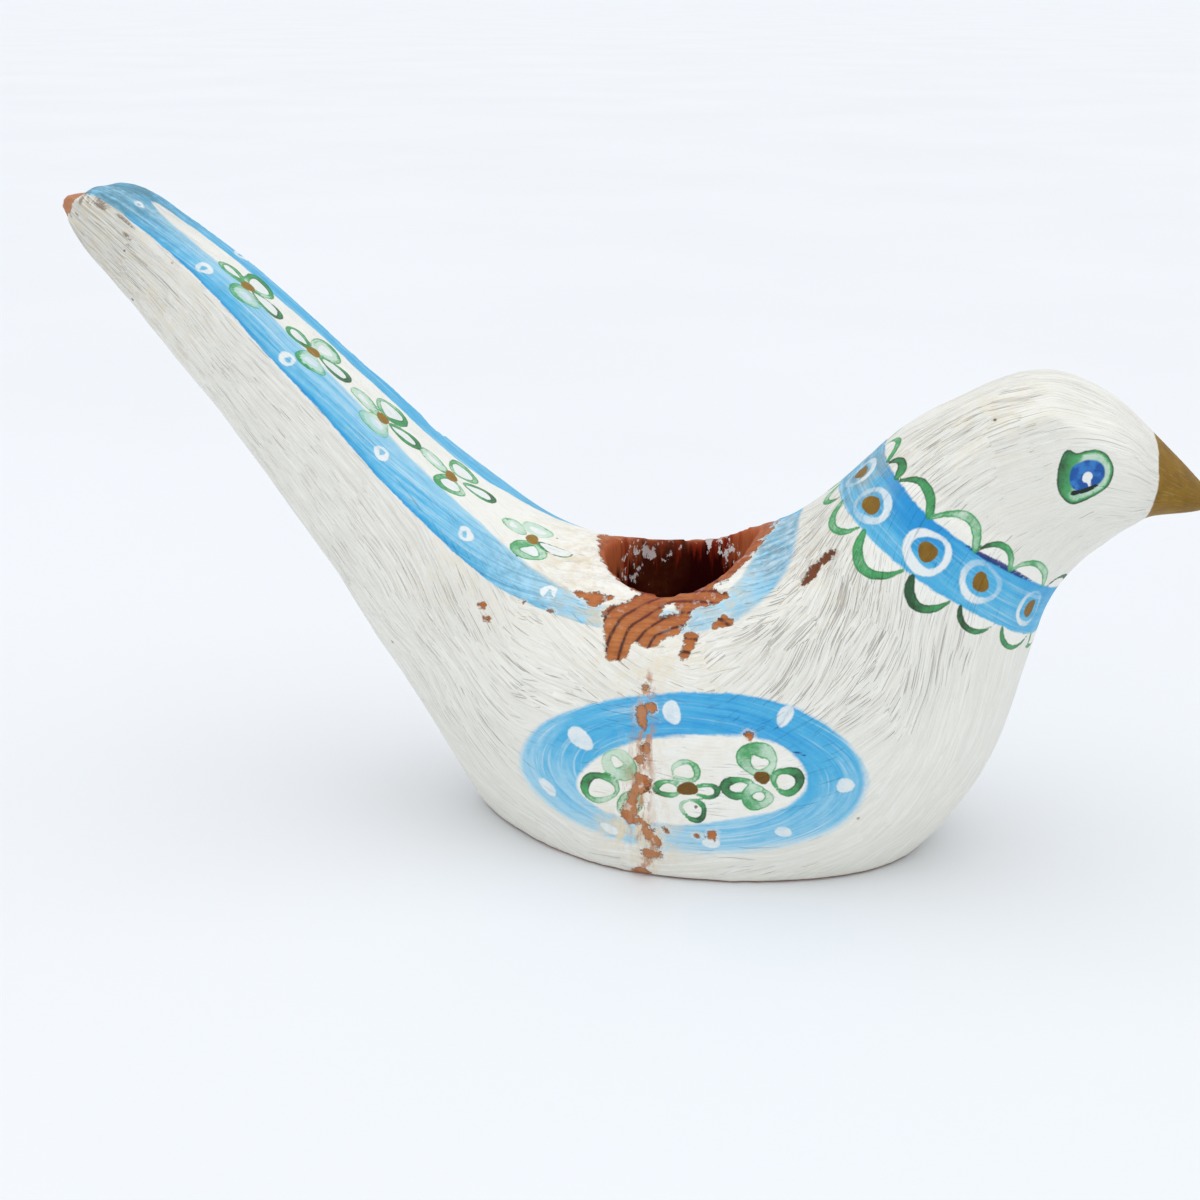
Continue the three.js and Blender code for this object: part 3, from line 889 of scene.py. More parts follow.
# Flat knife cuts on the near side, mirrored on the far side: a place on the skin and the depth.
KNIFE_CUTS = (
    ((44, -13, 60), 0.5), ((46, -9, 67), 0.85), ((53, -8, 66.5), 0.75), ((38, -12, 63.5), 0.7),
    ((60, -4, 65), 0.35), ((38, -19, 27), 0.55), ((50, -7, 24), 0.55), ((31, -22, 13), 0.5),
    ((42, -14, 12), 0.6), ((-22, -20, 14), 0.5), ((36, -17, 5), 0.5), ((-16, -21, 4), 0.4),
    ((18, -22, 30), 0.35), ((-85, -6, 91), 0.5),
)
# A cut faces as the skin does close by. It reaches so far, over skin that faces alike, and takes off this
# share of what stands above it.
CUT_CLOSE_BY = 3
CUT_REACH = 9
CUT_ALIKE = 0.75
CUT_TAKEN = 0.92

# How the tail's end is dressed, seen from the side: a place, how much it is raised, and how far that reaches.
TAIL_END_DRESSED = (
    ((-89.8, 86.8), 1.6, 3.1), ((-88.1, 88.5), 0.8, 1.8), ((-85.8, 90.5), -0.75, 2.2),
    ((-80.0, 88.5), 0.4, 4.0),
)

# Small chips out of the tail's far edge: a place on the edge, the depth and the reach.
EDGE_CHIPS = (
    ((-68.5, 8.5, 78.8), 0.75, 2.2), ((-53.2, 10.0, 66.3), 0.8, 2.4), ((-40.0, 11.0, 55.3), 0.6, 2.0),
)

# The knife's unevenness: length of its waves along and across the bird and of the shorter ones, how strong
# those are beside them, and between which heights it sets in above the sole.
KNIFE_ALONG, KNIFE_ACROSS, KNIFE_SHORT = 11, 8, 4
KNIFE_SHORT_SHARE = 0.4
KNIFE_SETS_IN = (1, 5)


def select_only(obj):
    """Selects one object and makes it active."""
    bpy.ops.object.select_all(action="DESELECT")
    obj.select_set(True)
    bpy.context.view_layer.objects.active = obj


def add_and_apply(obj, kind, **settings):
    """Adds one modifier and applies it."""
    select_only(obj)
    bpy.ops.object.modifier_add(type=kind)
    modifier = obj.modifiers[-1]
    for key, value in settings.items():
        setattr(modifier, key, value)
    bpy.ops.object.modifier_apply(modifier=modifier.name)


def copy_of_solid(name, node_name):
    """A free copy of the CAD solid, with its corners merged."""
    select_only(frame["nodes"][node_name])
    bpy.ops.object.duplicate(linked=False)
    copy = bpy.context.view_layer.objects.active
    bpy.ops.object.parent_clear(type="CLEAR_KEEP_TRANSFORM")
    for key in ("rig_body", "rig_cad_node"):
        del copy[key]
    copy.name = copy.data.name = name
    copy.data.materials.clear()
    bpy.ops.object.mode_set(mode="EDIT")
    bpy.ops.mesh.select_all(action="SELECT")
    bpy.ops.mesh.remove_doubles(threshold=1e-6)
    bpy.ops.object.mode_set(mode="OBJECT")
    return copy


def soften_facets(obj, carving):
    """Turns the faceted solid into a fine, evenly meshed carved form with worn edges."""
    select_only(obj)
    bpy.ops.object.mode_set(mode="EDIT")
    bpy.ops.mesh.select_mode(type="EDGE")
    bpy.ops.mesh.select_all(action="DESELECT")
    bpy.ops.mesh.edges_select_sharp(sharpness=carving.sharp_angle)
    bpy.ops.transform.edge_crease(value=1.0)
    bpy.ops.object.mode_set(mode="OBJECT")
    add_and_apply(obj, "SUBSURF", levels=2, render_levels=2)
    add_and_apply(obj, "REMESH", mode="VOXEL", voxel_size=carving.grain, use_smooth_shade=True)
    add_and_apply(obj, "SMOOTH", factor=0.5, iterations=carving.sanding)
    plane_facets(obj.data)
    add_and_apply(obj, "SMOOTH", factor=0.5, iterations=carving.sanding)


def plane_facets(mesh):
    """Takes shallow flat cuts off the rounded form, the same on both sides, as a knife does."""
    points, normals = points_of(mesh), normals_of(mesh)
    for place, depth in KNIFE_CUTS:
        for side in (1, -1):
            gap = np.linalg.norm(points - np.array(place) * (1, side, 1), axis=1)
            start = points[np.argmin(gap)]
            around = np.linalg.norm(points - start, axis=1)
            facing = normals[around < CUT_CLOSE_BY].mean(axis=0)
            facing /= np.linalg.norm(facing)
            alike = (around < CUT_REACH) & (normals @ facing > CUT_ALIKE)
            over = np.clip((points - start) @ facing + depth, 0, None) * alike
            points -= facing * (CUT_TAKEN * over)[:, None]
    put_points(mesh, points)


def refine_where_painted(obj, charts):
    """Divides the mesh finer where fine strokes are painted."""
    mesh = obj.data
    corners = np.empty(len(mesh.loops), np.int32)
    mesh.loops.foreach_get("vertex_index", corners)
    chosen = charts.decorated()[corners.reshape(-1, 4)].any(axis=1)
    select_only(obj)
    bpy.ops.object.mode_set(mode="EDIT")
    bpy.ops.mesh.select_mode(type="FACE")
    bpy.ops.mesh.select_all(action="DESELECT")
    bpy.ops.object.mode_set(mode="OBJECT")
    mesh.polygons.foreach_set("select", chosen)
    bpy.ops.object.mode_set(mode="EDIT")
    bpy.ops.mesh.subdivide(number_cuts=1)
    bpy.ops.object.mode_set(mode="OBJECT")


def points_of(mesh):
    """The mesh's points, in millimetres."""
    flat = np.empty(len(mesh.vertices) * 3, np.float32)
    mesh.vertices.foreach_get("co", flat)
    return flat.reshape(-1, 3).astype(float) / MM


def normals_of(mesh):
    flat = np.empty(len(mesh.vertices) * 3, np.float32)
    mesh.vertex_normals.foreach_get("vector", flat)
    return flat.reshape(-1, 3).astype(float)


def put_points(mesh, points):
    """Moves the mesh's points to places in millimetres."""
    mesh.vertices.foreach_set("co", (points * MM).astype(np.float32).ravel())
    mesh.update()


def shape_rim(points, carving):
    """Evens the socket's rim, and gives it its worn height, which differs round the socket."""
    radius = carving.socket_diameter / MM / 2
    from_axis = np.hypot(points[:, 0], points[:, 1])
    turn = np.arctan2(points[:, 1], points[:, 0])
    on_rim = (np.abs(from_axis - radius) < RIM_BAND) & (points[:, 2] > RIM_ABOVE)
    slot = ((turn + np.pi) / (2 * np.pi) * RIM_SLOTS).astype(int) % RIM_SLOTS
    top = np.full(RIM_SLOTS, RIM_ABOVE)
    np.maximum.at(top, slot[on_rim], points[on_rim, 2])
    middles = (np.arange(RIM_SLOTS) + 0.5) / RIM_SLOTS * 2 * np.pi - np.pi
    waves = [wave(k * middles) for k in RIM_WAVES for wave in (np.cos, np.sin)]
    waves = np.stack([np.ones(RIM_SLOTS)] + waves, 1)
    even = waves @ np.linalg.lstsq(waves, top, rcond=None)[0]
    lift = np.interp(turn, middles, even - top, period=2 * np.pi)
    lift += read_at(np.degrees(turn), RIM_LIFT)
    spread = np.exp(-(((from_axis - radius) / RIM_SPREAD) ** 2)) * ramp(points[:, 2], *RIM_SHAPED)
    points[:, 2] += lift * spread


def wear_rim(obj, charts, rubbing):
    """Rubs the socket's rim round."""
    group = obj.vertex_groups.new(name="rim")
    group.add(np.nonzero(charts.by_rim)[0].tolist(), 1.0, "REPLACE")
    add_and_apply(obj, "SMOOTH", factor=0.5, iterations=rubbing, vertex_group=group.name)
    obj.vertex_groups.clear()


def dress_tail_end(points):
    """Fills out the lower corner of the tail's end, and takes down its upper one."""
    raised = np.zeros(len(points))
    for (x, z), lift, reach in TAIL_END_DRESSED:
        gap = np.hypot(points[:, 0] - x, points[:, 2] - z)
        raised += lift * np.exp(-((gap / reach) ** 2))
    points[:, 2] += raised


def chip_edges(points, normals):
    """Breaks small flat chips out of an edge."""
    for place, depth, reach in EDGE_CHIPS:
        start = points[np.argmin(np.linalg.norm(points - np.array(place), axis=1))]
        around = np.linalg.norm(points - start, axis=1)
        facing = normals[around < reach].mean(axis=0)
        facing /= np.linalg.norm(facing)
        over = np.clip((points - start) @ facing + depth, 0, None) * (around < reach)
        points -= facing * over[:, None]


def knife_marks(points, normals, carving):
    """Shallow unevenness left by the knife, and nothing on the sole."""
    off_sole = ramp(points[:, 2], *KNIFE_SETS_IN)
    longer = points / (KNIFE_ALONG, KNIFE_ACROSS, KNIFE_ALONG)
    shorter = points / KNIFE_SHORT
    depth = np.array([
        noise.noise(Vector(a)) + KNIFE_SHORT_SHARE * noise.noise(Vector(b)) for a, b in zip(longer, shorter)
    ])
    points += normals * (depth * carving.knife_depth / MM * off_sole)[:, None]


def save_reading(mesh, name, values):
    """Keeps one value or vector per point, for the finish to read."""
    kind = "FLOAT" if values.ndim == 1 else "FLOAT_VECTOR"
    attribute = mesh.attributes.new(name, kind, "POINT")
    attribute.data.foreach_set("value" if values.ndim == 1 else "vector", values.astype(np.float32).ravel())


# ----------------------------------------------------------------------
# The finish
# ----------------------------------------------------------------------

class Finish:
    """Lays the shader nodes of one material."""

    def __init__(self, name):
        self.material = bpy.data.materials.new(name)
        self.material.use_nodes = True
        self.tree = self.material.node_tree
        self.tree.nodes.clear()

    def node(self, kind, **settings):
        node = self.tree.nodes.new("ShaderNode" + kind)
        for key, value in settings.items():
            setattr(node, key, value)
        return node

    def feed(self, socket, value):
        if isinstance(value, bpy.types.NodeSocket):
            self.tree.links.new(value, socket)
        else:
            socket.default_value = value

    def math(self, operation, *values, clamp=False):
        node = self.node("Math", operation=operation, use_clamp=clamp)
        for socket, value in zip(node.inputs, values):
            self.feed(socket, value)
        return node.outputs[0]

    def add(self, *values):
        total = values[0]
        for value in values[1:]:
            total = self.math("ADD", total, value)
        return total

    def times(self, *values):
        total = values[0]
        for value in values[1:]:
            total = self.math("MULTIPLY", total, value)
        return total

    def vector(self, operation, *values, out=0):
        node = self.node("VectorMath", operation=operation)
        for socket, value in zip(node.inputs, values):
            self.feed(socket, value)
        return node.outputs[out]

    def reading(self, name, vector=False):
        node = self.node("Attribute", attribute_type="GEOMETRY", attribute_name=name)
        return node.outputs["Vector" if vector else "Fac"]

    def noise(self, vector, detail=2.0, roughness=0.5, distortion=0.0, scale=1.0):
        node = self.node("TexNoise", noise_dimensions="3D")
        self.feed(node.inputs["Vector"], vector)
        settings = {"Scale": scale, "Detail": detail, "Roughness": roughness, "Distortion": distortion}
        for key, value in settings.items():
            self.feed(node.inputs[key], value)
        return node.outputs["Fac"]

    def fade(self, value, start, end, low=0.0, high=1.0):
        """Goes smoothly from low at start to high at end."""
        node = self.node("MapRange", interpolation_type="SMOOTHSTEP")
        for socket, given in zip(node.inputs, (value, start, end, low, high)):
            self.feed(socket, given)
        return node.outputs[0]

    def mix(self, share, under, over):
        node = self.node("Mix", data_type="RGBA")
        self.feed(node.inputs[0], share)
        self.feed(node.inputs[6], under)
        self.feed(node.inputs[7], over)
        return node.outputs[2]


# The white strokes lie in patches at one of three slants, and waver. A noise is parted into the patches.
PATCHES_PART = (0.45, 0.56)
STROKE_SLANT = 0.26
STROKE_WAVER = 0.11
# How far the tail reaches along the body, and the share of their slant that strokes keep on it.
TAIL_LENGTH = 70.0
TAIL_SLANT = 0.2
# A knot below the socket: its place, its axis, year rings per millimetre, and where their lines fade out.
KNOT = (4.4, -18.8, 31.0)
KNOT_AXIS = (0.10, -0.72, 0.69)
RINGS_PER_MM = 0.52
RINGS_FADE = (17.0, 13.0)


def slanted(f, flow, place, waver):
    """Turns the white brush's coordinates round the body, in patches that each lie at a slant of their own."""
    along = f.node("SeparateXYZ")
    f.feed(along.inputs[0], flow)
    ends = f.noise(f.vector("MULTIPLY", flow, (0.06, 1.3, 1.3)), detail=1.0)
    patch = f.add(f.noise(place, scale=0.06, detail=1.0, distortion=0.6), f.times(f.add(ends, -0.5), 0.20))
    steps = f.add(*(f.math("GREATER_THAN", patch, part) for part in PATCHES_PART), -1.0)
    turn = f.node("VectorRotate", rotation_type="X_AXIS")
    f.feed(turn.inputs["Vector"], flow)
    on_tail = f.math("MINIMUM", along.outputs[0], TAIL_LENGTH)
    run = f.add(along.outputs[0], f.times(on_tail, TAIL_SLANT - 1.0))
    f.feed(turn.inputs["Angle"], f.add(
        f.times(steps, run, STROKE_SLANT / Charts.STROKE_RADIUS), f.times(f.add(waver, -0.5), STROKE_WAVER),
    ))
    return turn.outputs[0]


class BirdFinish(Finish):
    """The painted wood's colours and brushes, and the readings and noises that its coats share."""

    def __init__(self, paint):
        super().__init__("painted_wood")
        self.paint = paint
        self.place = self.vector("SCALE", self.node("TexCoord").outputs["Object"])
        self.place.node.inputs["Scale"].default_value = 1 / MM
        self.patches = self.noise(self.place, scale=0.07, detail=2.0)
        self.flow = slanted(self, self.reading("flow", True), self.place, self.patches)
        self.border = self.reading("border_flow", True)
        self.fine = self.noise(self.place, scale=1.9, detail=3.0, roughness=0.6)
        self.grain = self.noise(self.place, scale=0.55, detail=4.0, roughness=0.62)
        self.grime, self.stain = self.reading("grime"), self.reading("stain")
        self.faded, self.flaking = self.reading("faded"), self.reading("flaking")

    def brushed(self, along, across, **settings):
        """Noise drawn out along the white brush."""
        return self.noise(self.vector("MULTIPLY", self.flow, (along, across, across)), **settings)

    def blue_brushed(self, along, across, **settings):
        """Noise drawn out along the blue brush."""
        return self.noise(self.vector("MULTIPLY", self.border, (along, along, across)), **settings)

    def about(self, noise_value, amount):
        """A noise that goes both ways from 0."""
        return self.times(self.add(noise_value, -0.5), amount)

    def feed(self, socket, value):
        """Takes the name of one of the paint's colours, too."""
        if isinstance(value, str):
            value = (*getattr(self.paint, value), 1.0)
        super().feed(socket, value)


def white_ground(f):
    """White ground: brush strokes, with dirt in the furrows between them."""
    f.strokes = f.brushed(0.10, 1.5, detail=3.0, roughness=0.7)
    f.bristle = f.brushed(0.12, 3.6, detail=2.0, roughness=0.6)
    breaks = f.brushed(0.10, 0.40, detail=1.0)
    furrowed = f.reading("furrowed")
    furrow = f.fade(f.add(f.brushed(0.13, 3.4, detail=1.0), f.times(furrowed, 0.13)), 0.715, 0.765)
    hair = f.fade(f.add(f.brushed(0.17, 6.0, detail=1.0), f.times(furrowed, 0.11)), 0.70, 0.76)
    furrows = f.math("ADD", furrow, f.times(hair, 0.8), clamp=True)
    f.furrow = f.times(furrows, f.fade(breaks, 0.36, 0.56, 0.2, 1.0))
    white = f.mix(f.fade(f.strokes, 0.30, 0.70), "white_shade", "white")
    white = f.mix(f.times(f.fade(f.bristle, 0.48, 0.64), 0.7), white, "white_shade")
    white = f.mix(f.times(f.fade(f.patches, 0.42, 0.68), 0.45), white, "white_shade")
    comb = f.fade(f.brushed(0.04, 2.1, detail=2.0, roughness=0.6), 0.50, 0.66)
    white = f.mix(f.times(comb, f.fade(furrowed, -0.1, 0.35, 0.02, 0.15)), white, "dirt")
    white = f.mix(f.times(f.furrow, 0.50), white, f.mix(f.stain, "dirt", "umber"))
    white = f.mix(f.fade(f.reading("cover"), 0.25, -0.25, 0.0, 0.75), white, "white")
    yellowed = f.times(f.fade(f.grain, 0.38, 0.72), f.add(f.times(f.stain, 0.75), 0.06))
    white = f.mix(yellowed, white, "cream")
    # Dirt in spots, and painted shade on the cheek, darkens the white.
    return f.mix(f.times(f.fade(f.strokes, 0.40, 0.66), f.grime, 0.50), white, "dirt")


def blue_coat(f, base):
    """Blue, thin enough for the white to show through in streaks."""
    streaks = f.blue_brushed(0.05, 1.1, detail=3.0, roughness=0.62)
    soft = f.reading("blue_soft")
    blue_edge = f.add(
        f.reading("blue"), f.about(f.fine, 0.30), f.about(f.grain, 0.60), f.times(f.about(streaks, 2.6), soft),
    )
    blue_share = f.fade(blue_edge, soft, f.times(soft, -1.0))
    blue_tone = f.add(f.reading("blue_tone"), f.about(streaks, 1.15), f.about(f.grain, 0.35))
    blue = f.mix(f.fade(blue_tone, -0.05, 0.55), "blue_pale", "blue")
    blue = f.mix(f.fade(blue_tone, 0.45, 1.05), blue, "blue_deep")
    thin = f.fade(f.blue_brushed(0.07, 2.4, detail=2.0), 0.54, 0.68)
    blue = f.mix(f.times(thin, f.fade(blue_tone, 1.1, 0.2), 0.50), blue, "blue_white")
    f.blotch = f.noise(f.place, scale=0.34, detail=3.0, roughness=0.65)
    blue = f.mix(f.times(f.fade(f.blotch, 0.48, 0.60), f.flaking, 0.6), blue, "blue_white")
    blue = f.mix(f.times(f.fade(f.grain, 0.35, 0.60), f.faded), blue, "cream")
    soiled = f.times(f.fade(f.add(f.grain, f.about(streaks, 0.9)), 0.22, 0.72), f.grime)
    blue = f.mix(soiled, blue, "blue_grey")
    blue = f.mix(f.times(f.furrow, 0.05), blue, "blue_night")
    base = f.mix(blue_share, base, blue)
    night_edge = f.add(f.reading("night"), f.about(f.fine, 0.25), f.about(streaks, 0.5))
    return f.mix(f.fade(night_edge, 0.12, -0.14, 0.0, 0.95), base, "blue_night")


def white_dabs(f, base):
    """White dots, dabs and rings."""
    white_edge = f.add(f.reading("white"), f.about(f.fine, 0.30))
    white_body = f.fade(f.add(f.reading("white_tone"), f.about(f.grain, 0.9)), 0.15, 0.95, 0.25, 1.0)
    f.white_share = f.times(f.fade(white_edge, 0.12, -0.18), white_body)
    return f.mix(f.white_share, base, "dab_white")


def green_coat(f, base):
    """Green, pooled darker along the edges of each stroke."""
    green_edge = f.add(f.reading("green"), f.about(f.fine, 0.22), f.about(f.grain, 0.34))
    pooled = f.fade(green_edge, -0.34, -0.02, 0.0, 0.24)
    green_tone = f.add(f.reading("green_tone"), f.about(f.blotch, 0.9), f.about(f.fine, 0.3), pooled)
    green = f.mix(f.fade(green_tone, 0.10, 0.58), "green_pale", "green")
    green = f.mix(f.fade(green_tone, 0.52, 1.10), green, "green_dark")
    green_share = f.times(f.fade(green_edge, 0.10, -0.10), f.fade(green_tone, 0.0, 0.55, 0.50, 0.97))
    return f.mix(green_share, base, green)


def ochre_coat(f, base):
    """Ochre beak, dots and flower centres."""
    ochre_edge = f.add(f.reading("ochre"), f.about(f.fine, 0.25))
    ochre_tone = f.add(f.reading("ochre_tone"), f.about(f.grain, 0.8))
    ochre = f.mix(f.fade(ochre_tone, 0.0, 1.0), "ochre_dark", "ochre")
    rubbed = f.fade(f.brushed(0.25, 1.2, detail=2.0), 0.60, 0.72)
    worn = f.times(rubbed, f.fade(f.reading("ochre_tone"), 0.5, 0.6), 0.35)
    ochre = f.mix(worn, ochre, "ochre_pale")
    return f.mix(f.fade(ochre_edge, 0.10, -0.12), base, ochre)


def eye_coat(f, base):
    """The eye's iris, with a glint and a dark lid."""
    iris = f.mix(f.fade(f.noise(f.place, scale=0.7), 0.42, 0.62), "iris", "iris_pale")
    base = f.mix(f.fade(f.add(f.reading("iris"), f.about(f.fine, 0.2)), 0.14, -0.14), base, iris)
    base = f.mix(f.fade(f.reading("glint"), 0.08, -0.10), base, "glint")
    return f.mix(f.fade(f.add(f.reading("lid"), f.about(f.fine, 0.1)), 0.06, -0.08), base, "lid")


def nicks(f, base):
    """Nicks down to the wood, here and there, and scratches."""
    cell = f.node("TexVoronoi", voronoi_dimensions="3D", feature="F1")
    f.feed(cell.inputs["Vector"], f.place)
    f.feed(cell.inputs["Scale"], 0.28)
    lot = f.node("SeparateColor")
    f.feed(lot.inputs[0], cell.outputs["Color"])
    nick = f.times(
        f.fade(f.add(cell.outputs["Distance"], f.about(f.fine, 0.10)), 0.085, 0.055),
        f.fade(f.add(lot.outputs[0], f.times(f.stain, 0.25)), 0.93, 0.96),
    )
    base = f.mix(f.times(nick, 0.8), base, "wood_line")
    scratch_edge = f.add(f.reading("scratch"), f.about(f.fine, 0.40), f.about(f.bristle, 0.5))
    return f.mix(f.fade(scratch_edge, 0.10, -0.14, 0.0, 0.75), base, "umber")


def rust_stain(f, base):
    """Rust bled over the wing, and smeared round the socket."""
    f.bled = f.noise(f.vector("MULTIPLY", f.place, (1.1, 1.1, 0.30)), detail=3.0, roughness=0.7)
    f.rusty = f.fade(f.add(f.reading("rust"), f.about(f.grain, 2.6)), 0.9, -0.9)
    smeared = f.times(f.flaking, f.stain, 0.5)
    rust_share = f.times(f.fade(f.bled, 0.42, 0.62), f.math("ADD", f.rusty, smeared, clamp=True), 0.85)
    return f.mix(rust_share, base, "rust")


def bare_wood(f):
    """Bare wood: year rings round a knot below the socket."""
    knot = f.vector("SUBTRACT", f.place, KNOT)
    from_knot = f.vector("LENGTH", f.vector("CROSS_PRODUCT", knot, KNOT_AXIS), out=1)
    ring = f.add(from_knot, f.about(f.noise(f.place, scale=0.16, detail=2.0), 2.2), f.about(f.grain, 0.3))
    late = f.math("PINGPONG", f.times(ring, RINGS_PER_MM), 0.5)
    fibre = f.noise(f.vector("MULTIPLY", f.place, (0.25, 2.2, 2.2)), detail=3.0, roughness=0.6)
    wood = f.mix(f.fade(f.add(fibre, f.times(late, 0.35)), 0.30, 0.85), "wood_dark", "wood")
    ring_line = f.times(f.fade(late, 0.19, 0.03), f.fade(f.grain, 0.26, 0.50), f.fade(from_knot, *RINGS_FADE))
    wood = f.mix(ring_line, wood, "wood_line")
    wood = f.mix(f.times(f.rusty, f.fade(f.bled, 0.30, 0.58), 0.9), wood, "rust")
    wood = f.mix(f.times(f.fade(f.reading("bare_tone"), 0.55, 0.95), 0.8), wood, "wood_line")
    wood = f.mix(f.times(f.fade(f.reading("bare_tone"), 0.35, 0.25), 0.8), wood, "wood_pale")
    return f.mix(f.times(f.fade(f.grain, 0.54, 0.62), f.flaking, 0.8), wood, "chalk")


def burnt_socket(f, wood):
    """The socket: burnt, sooty and in painted shade towards its floor, painted lighter where light falls on
    its wall, with wax on the wall.
    """
    depth, f.bore = f.reading("bore_depth"), f.reading("bore")
    run = f.noise(f.vector("MULTIPLY", f.place, (0.8, 0.8, 0.09)), detail=3.0, roughness=0.65)
    wood = f.mix(f.times(f.reading("rim"), f.fade(f.grain, 0.30, 0.62), 0.75), wood, "wood_burnt")
    # Painted light: the wall is lighter where light falls on it.
    lit = f.fade(f.add(run, f.times(f.reading("side_light"), 0.30)), 0.45, 0.72)
    inside = f.mix(lit, "wood_burnt", "wood_painted_lit")
    # Painted shade and charring: darker with depth, partly burnt wood and partly the shade deep in the bore.
    charred_and_shaded = f.fade(f.add(depth, f.about(run, 22.0)), 1.0, 5.0)
    inside = f.mix(charred_and_shaded, inside, "char")
    soot = f.times(f.fade(f.grain, 0.36, 0.54), f.reading("soot"), 0.8)
    inside = f.mix(soot, inside, "soot")
    wax_noise = f.noise(f.vector("MULTIPLY", f.place, (0.75, 0.75, 0.5)), detail=3.0, roughness=0.7)
    wax = f.times(f.fade(f.add(wax_noise, f.times(f.add(f.reading("wax"), -1.0), 0.24)), 0.50, 0.565), f.bore)
    inside = f.mix(wax, inside, "wax")
    return f.mix(f.bore, wood, inside)


def broken_edges(f, base, wood):
    """Ragged edges of the paint, with chalky ground coat showing along them and flakes left on the wood."""
    ragged = f.add(f.about(f.grain, 1.2), f.about(f.fine, 1.1), f.times(f.about(f.grain, 4.0), f.flaking))
    f.bare_edge = f.add(f.reading("bare"), ragged)
    f.bare_share = f.math("MAXIMUM", f.fade(f.bare_edge, 0.10, -0.12), f.bore)
    chalk = f.times(
        f.fade(f.bare_edge, 0.70, 0.10), f.fade(f.bare_edge, 0.0, 0.15), f.fade(f.rusty, 0.0, 1.0, 0.55, 0.0),
    )
    base = f.mix(chalk, base, "chalk")
    return f.mix(f.bare_share, base, wood)


def painted_wood(paint):
    """White-primed wood with brushed folk paint, worn to bare wood in places."""
    f = BirdFinish(paint)
    base = white_ground(f)
    for coat in (blue_coat, white_dabs, green_coat, ochre_coat, eye_coat, nicks, rust_stain):
        base = coat(f, base)
    wood = burnt_socket(f, bare_wood(f))
    base = broken_edges(f, base, wood)

    # Relief: bristle ridges in the paint, and its broken edge round bare wood.
    ridge = f.add(f.times(f.strokes, 0.55), f.times(f.bristle, 0.25), f.times(f.furrow, -0.60))
    height = f.add(
        f.times(ridge, f.fade(f.bare_share, 1.0, 0.0)), f.times(f.fade(f.bare_edge, 0.18, -0.10), -1.1),
        f.times(f.white_share, 0.25),
    )
    bump = f.node("Bump")
    bump.inputs["Strength"].default_value = 0.75
    bump.inputs["Distance"].default_value = paint.relief
    f.feed(bump.inputs["Height"], height)

    shader = f.node("BsdfPrincipled")
    f.feed(shader.inputs["Base Color"], base)
    f.feed(shader.inputs["Roughness"], f.add(
        0.52, f.times(f.bare_share, 0.14), f.times(f.furrow, 0.15), f.about(f.grain, 0.16),
        f.times(f.bore, 0.10),
    ))
    f.feed(shader.inputs["Specular IOR Level"], f.fade(f.bore, 0.0, 1.0, 0.4, 0.08))
    f.feed(shader.inputs["Normal"], bump.outputs[0])
    f.feed(f.node("OutputMaterial").inputs["Surface"], shader.outputs[0])
    return f.material


# Darker shade of the floor, as a share of its colour.
FLOOR_SHADE = 0.975


def pale_floor(stage):
    """Smooth pale table top with the faintest unevenness."""
    f = Finish("pale_floor")
    place = f.node("TexCoord").outputs["Object"]
    cloud = f.noise(place, scale=5.0, detail=3.0)
    shade = (*[c * FLOOR_SHADE for c in stage.floor_colour], 1.0)
    colour = f.mix(f.fade(cloud, 0.3, 0.7), shade, (*stage.floor_colour, 1.0))
    shader = f.node("BsdfPrincipled")
    f.feed(shader.inputs["Base Color"], colour)
    shader.inputs["Roughness"].default_value = 0.55
    shader.inputs["Specular IOR Level"].default_value = 0.25
    f.feed(f.node("OutputMaterial").inputs["Surface"], shader.outputs[0])
    return f.material


# ----------------------------------------------------------------------
# Settings
# ----------------------------------------------------------------------

def srgb(red, green, blue):
    """Linear colour from 0 to 255 screen values."""
    def one(value):
        v = value / 255
        return v / 12.92 if v <= 0.04045 else ((v + 0.055) / 1.055) ** 2.4
    return (one(red), one(green), one(blue))


def colour_setting(name, description, *screen):
    return FloatVectorProperty(
        name=name, description=description, subtype="COLOR", size=3, min=0, max=1, default=srgb(*screen),
    )


def length_setting(name, description, metres):
    return FloatProperty(name=name, description=description, default=metres, unit="LENGTH", precision=5)


def count_setting(name, description, count):
    return IntProperty(name=name, description=description, default=count, min=0)


def angle_setting(name, description, degrees):
    return FloatProperty(name=name, description=description, default=math.radians(degrees), subtype="ANGLE")


class CarvingSettings(bpy.types.PropertyGroup):
    """Sizes of the carved form."""

    grain: length_setting("Mesh Grain", "Size of the fine mesh's cells", 0.00078)
    sharp_angle: angle_setting("Sharp Angle", "Edges sharper than this keep their crease", 30)
    sanding: count_setting("Sanding", "How often the cut edges are smoothed over", 3)
    rubbing: count_setting("Rubbing", "How often the socket's rim is smoothed over", 8)
    socket_diameter: length_setting("Socket Diameter", "Width of the candle socket", 0.022)
    socket_floor: length_setting("Socket Floor", "Height of the socket's floor above the sole", 0.018)
    knife_depth: length_setting("Knife Depth", "Depth of the knife's unevenness", 0.00022)
    paint_thickness: length_setting("Paint Thickness", "Step from the paint down to bare wood", 0.00022)


